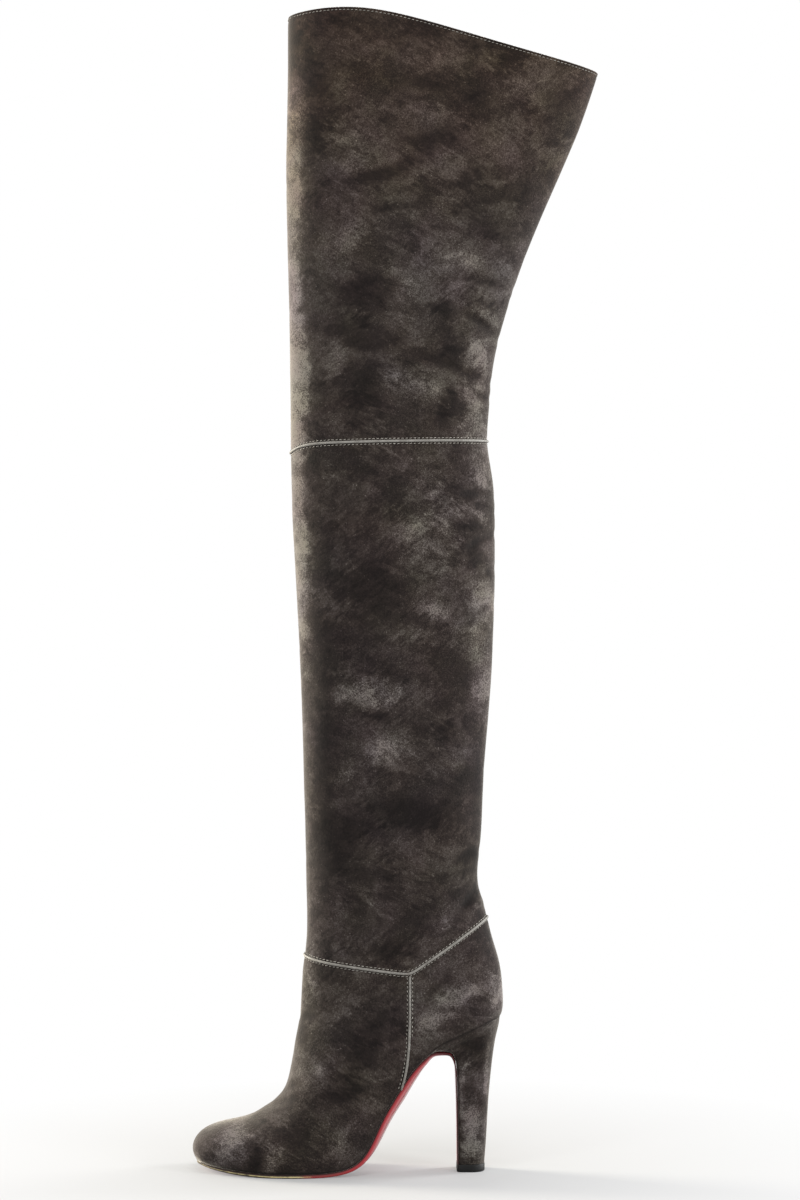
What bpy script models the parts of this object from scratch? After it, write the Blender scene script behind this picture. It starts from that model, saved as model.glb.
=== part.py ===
"""Over-the-knee boot with a high covered heel, a left boot, built as separate pieces.

Units are metres in the scene. The tables and sizes below are in millimetres and are scaled once,
where points go into a mesh. +Z is up, the toe points along -X and the outer side of the leg is -Y.
The origin is on the floor, in the middle of the boot's outline.
"""

import math

import bmesh
import bpy
import numpy as np

MM = 0.001

# Driving dimensions, in millimetres.
FOOT_LENGTH = 219.9      # toe to the back of the heel, along the floor
BALL_WIDTH = 72.0        # sole at the ball of the foot
HEEL_HEIGHT = 110.0      # floor to the back of the heel seat
BOOT_HEIGHT = 819.0      # floor to the top of the collar

# The sizes of the sample last that the section table is drawn on.
SAMPLE_LENGTH = 219.9
SAMPLE_BALL_WIDTH = 72.0
SAMPLE_HEEL_HEIGHT = 110.0
SAMPLE_BOOT_HEIGHT = 819.0

# Material thicknesses and clearances.
WALL = 2.0               # suede with its lining
GAP = 0.3                # between pieces that touch
SOLE_THICKNESS = 2.7
WAIST_SWELL = 0.9        # extra depth of the rounded waist under the arch
LIP_THICKNESS = 1.8      # sole leather skived thin at the top of the arch
BREAST_THICKNESS = 1.0   # and where it runs down the front of the heel
SOLE_OVERHANG = 0.6      # sole edge beyond the upper's feather line
SOLE_BEVEL = 0.4         # share of the sole's thickness that its lower edge is bevelled
INSOLE_THICKNESS = 1.8
INSOLE_INSET = 2.6       # insole edge inside the feather line
INSOLE_TOE_CLEARANCE = 4.0
INSOLE_HEEL_CLEARANCE = 3.0
LIFT_HEIGHT = 5.3
PIPING_WIDTH = 2.6
PIPING_HEIGHT = 0.9
PIPING_LIFT = 0.42       # clears the flat facets of the curved wall under it

# Mesh fineness.
SIDE_SEGMENTS = 20       # from the front line to the back line, on each side
PIPING_SIDES = 5         # round the half-round of the piping
FOOT_ROWS = 29
ANKLE_ROWS = 4
LEG_ROWS = 10
THIGH_ROWS = 9
HEEL_SIDE_SEGMENTS = 9
SEAM_STEPS = 40          # halvings when a seam is looked for on the surface
SHARP_ANGLE = 40.0       # degrees, above which an edge is shaded sharp
WELD = 1e-6              # metres

# Plan of the sole. Stations are along X, and the widths are measured from the heel-to-ball axis, Y = 0.
TOE_TIP_X = -141.0
TOE_TIP_Y = 5.0
TOE_TIP_SHARES = (0.985, 0.9, 0.7, 0.4)  # stations of the sole ahead of the first section
TOE_ROUNDNESS = 1.9      # superellipse power of the toe outline: 2 is round, less is more almond
BALL_OUTER_X = -72.0
BALL_INNER_X = -86.0
BALL_SHARE_OUTER = 0.5   # share of the ball width on each side of the axis
BALL_SHARE_INNER = 0.5
WAIST_OUTER_X, WAIST_OUTER = 10.0, 23.2
WAIST_INNER_X, WAIST_INNER = 0.0, 19.8
SEAT_X, SEAT_HALF = 48.0, 23.6
SWELL_X, SWELL_RUN = 0.0, 40.0   # middle of the rounded waist, and the run over which it fades
HEEL_BACK_X = 74.2

# Sections of the boot, from the toe round the foot and up the leg. Each one is a loop in the plane through
# a front point and a back point, seen from the side. Half widths are from Y = 0. Widest is the share of the
# way from front to back where the loop is widest. The two powers shape the front and the back of the loop:
# 2 is an ellipse, more is fuller and less is more pointed. In the foot, the back point is on the feather
# line, where the upper meets the sole.
SECTION_COLUMNS = (
    "front_x", "front_z", "back_x", "back_z", "half_outer", "half_inner",
    "ridge_y", "widest", "front_n", "back_n",
)
SECTIONS = (
    ("toe edge", -141.0, 6.9, -136.0, 6.4, 9.5, 17.3, 5.0, 0.95, 2.0, 2.0),
    ("toe rise", -144.0, 14.5, -131.5, 5.7, 17.4, 24.4, 5.0, 0.64, 2.0, 2.0),
    ("toe bend", -142.2, 22.0, -125.0, 5.0, 23.2, 29.2, 5.0, 0.62, 2.0, 2.0),
    ("toe top", -135.2, 28.9, -116.0, 4.3, 28.6, 33.2, 4.8, 0.62, 2.0, 2.0),
    ("toe box", -122.5, 33.9, -105.0, 3.6, 33.2, 36.4, 4.4, 0.64, 2.0, 2.1),
    ("vamp", -107.0, 37.3, -91.0, 2.9, 36.9, 38.2, 4.0, 0.66, 2.0, 2.2),
    ("ball", -92.3, 44.8, -75.0, 2.85, 38.8, 38.0, 3.5, 0.66, 1.95, 2.2),
    ("vamp bend", -80.4, 55.5, -58.0, 2.9, 39.0, 37.0, 3.0, 0.65, 1.9, 2.2),
    ("low instep", -76.3, 65.0, -44.0, 3.7, 38.0, 35.6, 2.6, 0.62, 1.9, 2.2),
    ("instep", -74.5, 73.0, -30.6, 7.1, 36.6, 34.2, 2.2, 0.60, 1.9, 2.2),
    ("high instep", -73.0, 81.0, -20.6, 16.0, 35.3, 33.2, 1.8, 0.58, 1.9, 2.2),
    ("arch low", -71.8, 88.5, -9.6, 37.8, 34.3, 32.6, 1.4, 0.56, 1.9, 2.2),
    ("arch", -70.6, 95.5, 2.3, 58.1, 33.5, 32.2, 1.0, 0.54, 1.95, 2.3),
    ("arch high", -69.3, 102.0, 13.9, 74.8, 32.9, 32.0, 0.7, 0.52, 2.0, 2.4),
    ("seat front", -68.3, 108.0, 28.0, 87.6, 32.5, 31.9, 0.5, 0.50, 2.0, 2.5),
    ("seat", -67.5, 113.5, 45.0, 97.0, 32.2, 31.9, 0.3, 0.49, 2.0, 2.7),
    ("seat back", -67.1, 119.0, 60.0, 103.6, 32.1, 31.9, 0.2, 0.48, 2.05, 2.8),
    ("seat end", -66.8, 124.0, 70.0, 107.9, 32.1, 32.0, 0.1, 0.47, 2.1, 2.8),
    ("heel back", -66.5, 129.5, 74.2, 110.0, 32.1, 32.1, 0.0, 0.46, 2.1, 2.8),
    ("counter", -66.1, 136.0, 75.9, 127.0, 32.3, 32.3, 0.0, 0.46, 2.15, 2.7),
    ("ankle", -65.6, 143.0, 74.4, 143.0, 32.6, 32.6, 0.0, 0.46, 2.2, 2.5),
    ("over ankle", -63.2, 163.0, 69.2, 163.0, 33.0, 33.0, 0.0, 0.46, 2.2, 2.2),
    ("low leg", -62.8, 180.0, 64.8, 180.0, 33.2, 33.2, 0.0, 0.46, 2.2, 2.0),
    ("fold", -63.0, 192.0, 61.6, 192.0, 33.2, 33.2, 0.0, 0.46, 2.2, 1.95),
    ("narrow", -63.3, 204.0, 58.8, 204.0, 33.2, 33.2, 0.0, 0.46, 2.2, 1.9),
    ("shin", -63.6, 228.0, 60.0, 228.0, 33.6, 33.6, 0.0, 0.46, 2.2, 1.9),
    ("low calf", -64.6, 270.0, 62.2, 270.0, 35.0, 35.0, 0.0, 0.46, 2.2, 1.85),
    ("calf", -66.6, 333.0, 67.0, 333.0, 36.6, 36.6, 0.0, 0.46, 2.2, 1.85),
    ("high calf", -69.6, 397.0, 69.9, 397.0, 37.5, 37.5, 0.0, 0.46, 2.2, 1.85),
    ("under knee", -72.6, 455.0, 70.7, 455.0, 37.5, 37.5, 0.0, 0.46, 2.2, 1.85),
    ("knee bend", -73.8, 490.0, 69.0, 490.0, 37.0, 37.0, 0.0, 0.46, 2.2, 1.85),
    ("knee", -74.3, 515.0, 65.2, 515.0, 36.6, 36.6, 0.0, 0.46, 2.2, 1.85),
    ("over knee", -74.5, 540.0, 66.4, 540.0, 36.8, 36.8, 0.0, 0.46, 2.2, 1.85),
    ("low thigh", -74.9, 567.0, 68.9, 567.0, 37.4, 37.4, 0.0, 0.46, 2.2, 1.8),
    ("thigh", -75.3, 610.0, 79.2, 610.0, 38.6, 38.6, 0.0, 0.45, 2.2, 1.8),
    ("flare", -76.6, 653.0, 94.1, 653.0, 40.0, 40.0, 0.0, 0.43, 2.2, 1.75),
    ("high thigh", -77.5, 695.0, 111.8, 695.0, 41.2, 41.2, 0.0, 0.41, 2.2, 1.75),
    ("under collar", -77.0, 738.0, 130.3, 738.0, 42.0, 42.0, 0.0, 0.40, 2.2, 1.75),
    ("collar back", -76.3, 779.0, 144.2, 779.0, 42.0, 42.0, 0.0, 0.40, 2.2, 1.75),
    ("over collar", -76.3, 830.0, 160.0, 830.0, 42.0, 42.0, 0.0, 0.40, 2.2, 1.75),
)
ROW_NAMES = tuple(row[0] for row in SECTIONS)

# Collar edge, seen from the side: x and z.
COLLAR = (
    (-78.0, 817.2),
    (-50.0, 819.0),
    (-22.0, 817.7),
    (20.0, 808.7),
    (75.0, 793.9),
    (144.0, 778.2),
)

# Knee seam: nearly level round the leg, with a dip at the front.
KNEE_SEAM_Z = 515.4
KNEE_SEAM_SLOPE = 0.022  # rise towards the back of the leg
KNEE_SEAM_DIP = 5.2
KNEE_SEAM_DIP_POWER = 8.0

# Ankle seam: a V seen from the side, with its point over the side seam, that turns up at the front.
ANKLE_FRONT_X, ANKLE_FRONT_Z = -65.0, 151.4
ANKLE_POINT_X, ANKLE_POINT_Z = 10.2, 141.8
ANKLE_BACK_X, ANKLE_BACK_Z = 65.0, 179.6
ANKLE_POINT_SOFTNESS = 1.2
ANKLE_FRONT_RISE = 1.6
ANKLE_FRONT_RISE_POWER = 8.0

# Side seam: straight down from the point of the V, then swinging forward into the arch.
SIDE_SEAM_SWING = 6.4
SIDE_SEAM_FOOT_Z = 60.8
SIDE_SEAM_POWER = 4.5
SIDE_SEAM_TOP_CLEARANCE = 2.4
SIDE_SEAM_STATIONS = 21

# Heel block. Each ring is in the plane through a front point, on the heel's breast, and a back point.
# The columns are its name, front x, front z, back x, back z and half width.
HEEL = (
    ("tip", 44.6, 5.6, 63.0, 5.6, 11.6),
    ("low", 44.4, 24.0, 64.4, 24.0, 12.2),
    ("middle", 44.0, 50.0, 65.9, 50.0, 13.7),
    ("high", 43.5, 68.0, 67.8, 71.0, 15.8),
    ("neck", 42.3, 79.0, 69.5, 85.0, 18.0),
    ("arch", 39.2, 84.5, 71.3, 95.5, 20.0),
    ("lip", 33.0, 86.0, 73.1, 103.0, 21.8),
)
HEEL_TOP_FRONT_X = 25.5
SOLE_LIP_RUN = 6.0       # run over which the sole goes from the feather line to under the heel's lip
HEEL_WIDEST = 0.5
HEEL_FRONT_N = 7.0
HEEL_BACK_N = 2.3
LIFT_FRONT_X, LIFT_BACK_X, LIFT_HALF = 43.2, 63.3, 11.8

SUEDE = ("suede", (0.048, 0.040, 0.036), 0.95)
PIPING_LEATHER = ("piping_leather", (0.36, 0.34, 0.31), 0.75)
SOLE_LEATHER = ("sole_leather", (0.36, 0.025, 0.03), 0.45)
LIFT_RUBBER = ("lift_rubber", (0.012, 0.012, 0.012), 0.6)
INSOLE_LEATHER = ("insole_leather", (0.42, 0.30, 0.20), 0.6)


def smoothstep(t):
    t = min(max(t, 0.0), 1.0)
    return t * t * (3.0 - 2.0 * t)


def natural_spline(knots, values):
    """A function for the natural cubic spline through the values at the knots. The values may be vectors."""
    knots = np.asarray(knots, float)
    values = np.asarray(values, float)
    step = np.diff(knots)
    count = len(knots)
    system = np.eye(count)
    slope = np.zeros_like(values)
    for i in range(1, count - 1):
        system[i, i - 1:i + 2] = step[i - 1], 2 * (step[i - 1] + step[i]), step[i]
        slope[i] = 6 * ((values[i + 1] - values[i]) / step[i] - (values[i] - values[i - 1]) / step[i - 1])
    bend = np.linalg.solve(system, slope)

    def at(t):
        i = int(np.clip(np.searchsorted(knots, t) - 1, 0, count - 2))
        h = step[i]
        a = (knots[i + 1] - t) / h
        b = (t - knots[i]) / h
        curve = ((a ** 3 - a) * bend[i] + (b ** 3 - b) * bend[i + 1]) * h * h / 6
        return a * values[i] + b * values[i + 1] + curve

    return at


def graded_sections():
    """The section table as numbers, graded from the sample last to the driving dimensions."""
    rows = np.array([row[1:] for row in SECTIONS], float)
    length = FOOT_LENGTH / SAMPLE_LENGTH
    width = BALL_WIDTH / SAMPLE_BALL_WIDTH
    heel = HEEL_HEIGHT / SAMPLE_HEEL_HEIGHT
    leg = (BOOT_HEIGHT - HEEL_HEIGHT) / (SAMPLE_BOOT_HEIGHT - SAMPLE_HEEL_HEIGHT)
    for name in ("front_x", "back_x"):
        rows[:, SECTION_COLUMNS.index(name)] *= length
    for name in ("half_outer", "half_inner", "ridge_y"):
        rows[:, SECTION_COLUMNS.index(name)] *= width
    for name in ("front_z", "back_z"):
        column = rows[:, SECTION_COLUMNS.index(name)]
        over = np.maximum(column - SAMPLE_HEEL_HEIGHT, 0.0)
        column[:] = np.minimum(column, SAMPLE_HEEL_HEIGHT) * heel + over * leg
    return rows


ROWS = graded_sections()


def section_knots():
    """Knots spaced by how far the front and back points move from row to row."""
    front = np.linalg.norm(np.diff(ROWS[:, 0:2], axis=0), axis=1)
    back = np.linalg.norm(np.diff(ROWS[:, 2:4], axis=0), axis=1)
    return np.concatenate([[0.0], np.cumsum((front + back) / 2)])


KNOTS = section_knots()
SECTION_AT = natural_spline(KNOTS, ROWS)
HEEL_BACK_KNOT = KNOTS[ROW_NAMES.index("heel back")]
COUNTER_KNOT = KNOTS[ROW_NAMES.index("counter")]


def sole_half_width(x, side):
    """Distance of the sole's edge from Y = 0 at station x. Side is -1 for the outer edge, 1 for the inner."""
    if side < 0:
        ball_x, ball, tip = BALL_OUTER_X, BALL_WIDTH * BALL_SHARE_OUTER, -TOE_TIP_Y
        waist_x, waist = WAIST_OUTER_X, WAIST_OUTER
    else:
        ball_x, ball, tip = BALL_INNER_X, BALL_WIDTH * BALL_SHARE_INNER, TOE_TIP_Y
        waist_x, waist = WAIST_INNER_X, WAIST_INNER
    if x < ball_x:
        share = min((ball_x - x) / (ball_x - TOE_TIP_X), 1.0)
        return tip + (ball - tip) * (1 - share ** TOE_ROUNDNESS) ** (1 / TOE_ROUNDNESS)
    if x < waist_x:
        return ball + (waist - ball) * smoothstep((x - ball_x) / (waist_x - ball_x))
    if x < SEAT_X:
        return waist + (SEAT_HALF - waist) * smoothstep((x - waist_x) / (SEAT_X - waist_x))
    share = min((x - SEAT_X) / (HEEL_BACK_X - SEAT_X), 1.0)
    return SEAT_HALF * math.sqrt(max(0.0, 1 - share * share))


def superellipse(angle, power):
    """Cosine and sine of an angle from 0 to a right angle, bent to a superellipse."""
    return abs(math.cos(angle)) ** (2 / power), abs(math.sin(angle)) ** (2 / power)


def surface(s, angle, side):
    """A point of the outer face: section s, and an angle from 0 at the front line to pi at the back line."""
    row = dict(zip(SECTION_COLUMNS, SECTION_AT(s)))
    widest = row["half_outer"] if side < 0 else row["half_inner"]
    if angle <= math.pi / 2:
        near, wide = superellipse(angle, row["front_n"])
        along = row["widest"] * (1 - near)
        y = row["ridge_y"] + (side * widest - row["ridge_y"]) * wide
    else:
        near, wide = superellipse(angle, row["back_n"])
        along = row["widest"] + (1 - row["widest"]) * near
        feather = side * sole_half_width(row["back_x"], side) if s < HEEL_BACK_KNOT else 0.0
        y = feather + (side * widest - feather) * wide
    x = row["front_x"] + along * (row["back_x"] - row["front_x"])
    z = row["front_z"] + along * (row["back_z"] - row["front_z"])
    return np.array((x, y, z))


def outward(s, angle, side):
    """Unit normal of the outer face."""
    ds, da = 0.05, 0.004
    along = surface(s + ds, angle, side) - surface(s - ds, angle, side)
    low, high = max(angle - da, 0.0), min(angle + da, math.pi)
    around = surface(s, high, side) - surface(s, low, side)
    normal = np.cross(along, around) * side
    return normal / np.linalg.norm(normal)


def seam_section(height_at, angle, side, lower=COUNTER_KNOT, upper=KNOTS[-1]):
    """The section where the surface at this angle meets a seam, whose height is given for a point."""
    for _ in range(SEAM_STEPS):
        middle = (lower + upper) / 2
        point = surface(middle, angle, side)
        if point[2] < height_at(point, angle):
            lower = middle
        else:
            upper = middle
    return (lower + upper) / 2


COLLAR_AT = natural_spline([p[0] for p in COLLAR], [p[1] for p in COLLAR])


def collar_height(point, angle):
    return float(COLLAR_AT(point[0]))


def knee_height(point, angle):
    dip = KNEE_SEAM_DIP * max(math.cos(angle), 0.0) ** KNEE_SEAM_DIP_POWER
    return KNEE_SEAM_Z + KNEE_SEAM_SLOPE * point[0] - dip


def ankle_height(point, angle):
    """Two straight lines that meet in the point of the V, slightly rounded there, and the rise in front."""
    x = point[0]
    rise = ANKLE_FRONT_RISE * max(math.cos(angle), 0.0) ** ANKLE_FRONT_RISE_POWER
    front_slope = (ANKLE_POINT_Z - ANKLE_FRONT_Z) / (ANKLE_POINT_X - ANKLE_FRONT_X)
    back_slope = (ANKLE_BACK_Z - ANKLE_POINT_Z) / (ANKLE_BACK_X - ANKLE_POINT_X)
    from_front = ANKLE_POINT_Z + front_slope * (x - ANKLE_POINT_X)
    from_back = ANKLE_POINT_Z + back_slope * (x - ANKLE_POINT_X)
    half_gap = (from_front - from_back) / 2
    return (from_front + from_back) / 2 + math.hypot(half_gap, ANKLE_POINT_SOFTNESS) + rise


def on_section(x, z):
    """The section and angle whose point, seen from the side, is at x and z."""
    lower, upper = KNOTS[ROW_NAMES.index("low instep")], KNOTS[ROW_NAMES.index("low leg")]
    for _ in range(SEAM_STEPS):
        middle = (lower + upper) / 2
        front_x, front_z, back_x, back_z = SECTION_AT(middle)[:4]
        above = (back_x - front_x) * (z - front_z) - (back_z - front_z) * (x - front_x)
        lower, upper = (middle, upper) if above > 0 else (lower, middle)
    s = (lower + upper) / 2
    row = dict(zip(SECTION_COLUMNS, SECTION_AT(s)))
    along = (x - row["front_x"]) / (row["back_x"] - row["front_x"])
    if along < row["widest"]:
        near = (1 - along / row["widest"]) ** (row["front_n"] / 2)
        return s, math.acos(min(near, 1.0))
    near = ((along - row["widest"]) / (1 - row["widest"])) ** (row["back_n"] / 2)
    return s, math.pi - math.acos(min(near, 1.0))


def material(name, colour, roughness):
    made = bpy.data.materials.get(name)
    if made is None:
        made = bpy.data.materials.new(name)
        made.use_nodes = True
        shader = made.node_tree.nodes["Principled BSDF"]
        shader.inputs["Base Color"].default_value = (*colour, 1.0)
        shader.inputs["Roughness"].default_value = roughness
        shader.inputs["Metallic"].default_value = 0.0
    return made


def add_object(name, mesh, finish, collection):
    mesh.materials.append(material(*finish))
    mesh.shade_smooth()
    mesh.set_sharp_from_angle(angle=math.radians(SHARP_ANGLE))
    piece = bpy.data.objects.new(name, mesh)
    collection.objects.link(piece)
    return piece


def mesh_from(name, points, faces, facing_out):
    """A mesh from points in millimetres, welded where they coincide."""
    mesh = bpy.data.meshes.new(name)
    mesh.from_pydata([tuple(p * MM) for p in points], [], faces)
    work = bmesh.new()
    work.from_mesh(mesh)
    bmesh.ops.remove_doubles(work, verts=work.verts, dist=WELD)
    if facing_out:
        bmesh.ops.recalc_face_normals(work, faces=work.faces)
    work.to_mesh(mesh)
    work.free()
    return mesh


def cap(first, size):
    """Faces that close a ring with strips from side to side. Point 0 is the middle of the ring's front."""
    faces = [(first, first + 1, first + size - 1)]
    for j in range(1, size // 2):
        corners = (first + j, first + j + 1, first + size - j - 1, first + size - j)
        faces.append(tuple(dict.fromkeys(corners)))
    return faces


def loft(name, rings, closed, finish, collection, strip_caps=False):
    """A closed solid through rings of points. A closed loft is a hoop; an open one gets a cap at each end."""
    rings = np.asarray(rings)
    count, size = rings.shape[:2]
    last = (count - 1) * size
    faces = []
    for i in range(count if closed else count - 1):
        for j in range(size):
            a, b = i * size, ((i + 1) % count) * size
            faces.append((a + j, a + (j + 1) % size, b + (j + 1) % size, b + j))
    if strip_caps:
        faces += cap(0, size) + cap(last, size)
    elif not closed:
        faces += [tuple(range(size)), tuple(range(last, last + size))]
    mesh = mesh_from(name, rings.reshape(-1, 3), faces, True)
    return add_object(name, mesh, finish, collection)


def around_angles():
    """(angle, side) from the back line, up the outer side to the front line, and down the inner side."""
    angles = [math.pi * j / SIDE_SEGMENTS for j in range(SIDE_SEGMENTS + 1)]
    outer = [(angle, -1) for angle in reversed(angles)]
    return outer + [(angle, 1) for angle in angles[1:]]


def shell(name, section_rows, collection):
    """A wall inside the surface. Each row holds the section for every column of around_angles."""
    columns = around_angles()
    width = len(columns)
    points = [surface(s, *column) for row in section_rows for s, column in zip(row, columns)]
    faces = []
    for i in range(len(section_rows) - 1):
        for j in range(width - 1):
            a, b = i * width + j, (i + 1) * width + j
            faces.append((b, b + 1, a + 1, a))
    piece = add_object(name, mesh_from(name, points, faces, False), SUEDE, collection)
    wall = piece.modifiers.new("wall", "SOLIDIFY")
    wall.thickness = WALL * MM
    wall.offset = -1.0
    wall.use_even_offset = True
    wall.use_quality_normals = True
    return piece


def between(lower, upper, rows):
    """Rows of sections that run evenly from one seam to another, column by column."""
    return [[low + (high - low) * i / rows for low, high in zip(lower, upper)] for i in range(rows + 1)]


def seam_line(height_at, offset):
    """The seam's section in every column, moved up or down the surface by an offset."""
    return [
        seam_section(lambda point, a: height_at(point, a) + offset, angle, side)
        for angle, side in around_angles()
    ]


def foot_sections():
    """Sections from the toe to the back of the heel, where the upper is open underneath."""
    return [HEEL_BACK_KNOT * i / FOOT_ROWS for i in range(FOOT_ROWS + 1)]


def build_upper(collection):
    top = seam_line(ankle_height, -GAP / 2)
    width = len(top)
    rows = [[s] * width for s in foot_sections()]
    rows += between([HEEL_BACK_KNOT] * width, top, ANKLE_ROWS)[1:]
    return shell("upper", rows, collection)


def build_leg(collection):
    bottom, top = seam_line(ankle_height, GAP / 2), seam_line(knee_height, -GAP / 2)
    return shell("leg_shaft", between(bottom, top, LEG_ROWS), collection)


def build_thigh(collection):
    bottom, top = seam_line(knee_height, GAP / 2), seam_line(collar_height, 0.0)
    return shell("thigh_shaft", between(bottom, top, THIGH_ROWS), collection)


def piping_ring(centre, normal, across):
    """Half-round section of the piping, lying a gap above the surface."""
    half = PIPING_WIDTH / 2
    ring = []
    for step in range(PIPING_SIDES + 1):
        turn = math.pi * step / PIPING_SIDES
        rise = PIPING_LIFT + PIPING_HEIGHT * math.sin(turn)
        ring.append(centre - across * half * math.cos(turn) + normal * rise)
    return ring


def piping_rings(stations, closed):
    """Rings along a seam, from its (section, angle, side) stations."""
    points = np.array([surface(*station) for station in stations])
    count = len(points)
    rings = []
    for i, station in enumerate(stations):
        before, after = (i - 1, (i + 1) % count) if closed else (max(i - 1, 0), min(i + 1, count - 1))
        normal = outward(*station)
        across = np.cross(normal, points[after] - points[before])
        rings.append(piping_ring(points[i], normal, across / np.linalg.norm(across)))
    return rings


def build_hoop_piping(name, height_at, collection):
    columns = around_angles()[:-1]
    stations = [(seam_section(height_at, angle, side), angle, side) for angle, side in columns]
    return loft(name, piping_rings(stations, True), True, PIPING_LEATHER, collection)


def build_side_piping(name, side, collection):
    top = ANKLE_POINT_Z - SIDE_SEAM_TOP_CLEARANCE
    stations = []
    for i in range(SIDE_SEAM_STATIONS):
        z = top + (SIDE_SEAM_FOOT_Z - top) * i / (SIDE_SEAM_STATIONS - 1)
        swing = ((ANKLE_POINT_Z - z) / (ANKLE_POINT_Z - SIDE_SEAM_FOOT_Z)) ** SIDE_SEAM_POWER
        stations.append((*on_section(ANKLE_POINT_X - SIDE_SEAM_SWING * swing, z), side))
    return loft(name, piping_rings(stations, False), False, PIPING_LEATHER, collection)


def feather_stations():
    """(x, z) of the feather line, from the very tip of the toe to the back of the heel."""
    first_x, first_z = SECTION_AT(0.0)[2:4]
    tip_rise = (SECTION_AT(0.0)[1] - first_z) / (first_x - TOE_TIP_X)
    lead = [first_x + (TOE_TIP_X - first_x) * share for share in TOE_TIP_SHARES]
    front = [(x, first_z + tip_rise * (first_x - x)) for x in lead]
    return front + [tuple(SECTION_AT(s)[2:4]) for s in foot_sections()]


def heel_front_line():
    """(x, z, half width) down the front of the heel, from the lip under the arch to the tip."""
    return [(row[1], row[2], row[5]) for row in reversed(HEEL)]


def sole_thickness(x):
    return SOLE_THICKNESS + WAIST_SWELL * (1 - smoothstep(abs(x - SWELL_X) / SWELL_RUN))


def build_outsole(collection):
    """Sole leather under the feather line, then thinner, round the arch and down the heel's breast."""
    stations = [
        (x, z, *(sole_half_width(x, side) + SOLE_OVERHANG for side in (-1, 1)), sole_thickness(x))
        for x, z in feather_stations()
        if x < HEEL_TOP_FRONT_X - SOLE_LIP_RUN
    ]
    lip = HEEL_TOP_FRONT_X
    lip_z = feather_height(lip) - GAP
    stations.append((lip, lip_z, sole_half_width(lip, -1), sole_half_width(lip, 1), LIP_THICKNESS))
    stations += [(x, z, half, half, BREAST_THICKNESS) for x, z, half in heel_front_line()]
    path = np.array([station[:2] for station in stations])
    tangent = np.gradient(path, axis=0)
    tangent /= np.linalg.norm(tangent, axis=1)[:, None]
    rings = []
    for (x, z, outer, inner, thickness), (along, rise) in zip(stations, tangent):
        down = np.array((rise, 0.0, -along))
        bevel = SOLE_BEVEL * thickness
        section = (
            (-outer, 0.0), (-outer, thickness - bevel), (-outer + bevel, thickness),
            (inner - bevel, thickness), (inner, thickness - bevel), (inner, 0.0),
        )
        ring = [np.array((x, y, z)) + down * (GAP + depth) for y, depth in section]
        for point in ring:
            point[2] = max(point[2], 0.0)
        rings.append(ring)
    return loft("outsole", rings, False, SOLE_LEATHER, collection)


def build_insole(collection):
    """A thin bed inside the upper, along the feather line from toe to heel."""
    first, last = TOE_TIP_X + INSOLE_TOE_CLEARANCE, HEEL_BACK_X - INSOLE_HEEL_CLEARANCE
    stations = [(x, z) for x, z in feather_stations() if first < x < last]
    path = np.array(stations)
    tangent = np.gradient(path, axis=0)
    tangent /= np.linalg.norm(tangent, axis=1)[:, None]
    rings = []
    for (x, z), (along, rise) in zip(stations, tangent):
        up = np.array((-rise, 0.0, along))
        outer, inner = (sole_half_width(x, side) - INSOLE_INSET for side in (-1, 1))
        top = GAP + INSOLE_THICKNESS
        section = ((-outer, GAP), (inner, GAP), (inner, top), (-outer, top))
        rings.append([np.array((x, y, z)) + up * height for y, height in section])
    return loft("insole", rings, False, INSOLE_LEATHER, collection)


def loop_shares():
    """(share along, share of the half width) round a heel ring, from the middle of its front."""
    outer = []
    for j in range(1, 2 * HEEL_SIDE_SEGMENTS):
        angle = math.pi * j / (2 * HEEL_SIDE_SEGMENTS)
        if angle <= math.pi / 2:
            near, wide = superellipse(angle, HEEL_FRONT_N)
            outer.append((HEEL_WIDEST * (1 - near), wide))
        else:
            near, wide = superellipse(angle, HEEL_BACK_N)
            outer.append((HEEL_WIDEST + (1 - HEEL_WIDEST) * near, wide))
    return [(0.0, 0.0)] + [(along, -wide) for along, wide in outer] + [(1.0, 0.0)] + list(reversed(outer))


def feather_height(x):
    stations = feather_stations()
    return float(np.interp(x, [p[0] for p in stations], [p[1] for p in stations]))


def build_heel(collection):
    """Covered heel block, from the top lift up to the seat under the upper."""
    rings = []
    for _, front_x, front_z, back_x, back_z, half in HEEL:
        front, back = np.array((front_x, 0.0, front_z)), np.array((back_x, 0.0, back_z))
        ring = [front + (back - front) * along for along, _ in loop_shares()]
        for point, (_, wide) in zip(ring, loop_shares()):
            point[1] = half * wide
        rings.append(ring)
    seat = []
    for along, wide in loop_shares():
        x = HEEL_TOP_FRONT_X + (HEEL_BACK_X - HEEL_TOP_FRONT_X) * along
        half = sole_half_width(x, -1 if wide < 0 else 1)
        front_corner = min(abs(wide), 1.0) if along < HEEL_WIDEST else 1.0
        seat.append(np.array((x, math.copysign(half * front_corner, wide), feather_height(x) - GAP)))
    rings.append(seat)
    return loft("heel", rings, False, SUEDE, collection, strip_caps=True)


def build_top_lift(collection):
    """Rubber tip under the heel."""
    rings = []
    for z in (0.0, LIFT_HEIGHT):
        rings.append([
            np.array((LIFT_FRONT_X + (LIFT_BACK_X - LIFT_FRONT_X) * along, LIFT_HALF * wide, z))
            for along, wide in loop_shares()
        ])
    return loft("top_lift", rings, False, LIFT_RUBBER, collection, strip_caps=True)


def clear_scene():
    for piece in list(bpy.data.objects):
        bpy.data.objects.remove(piece)


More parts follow.
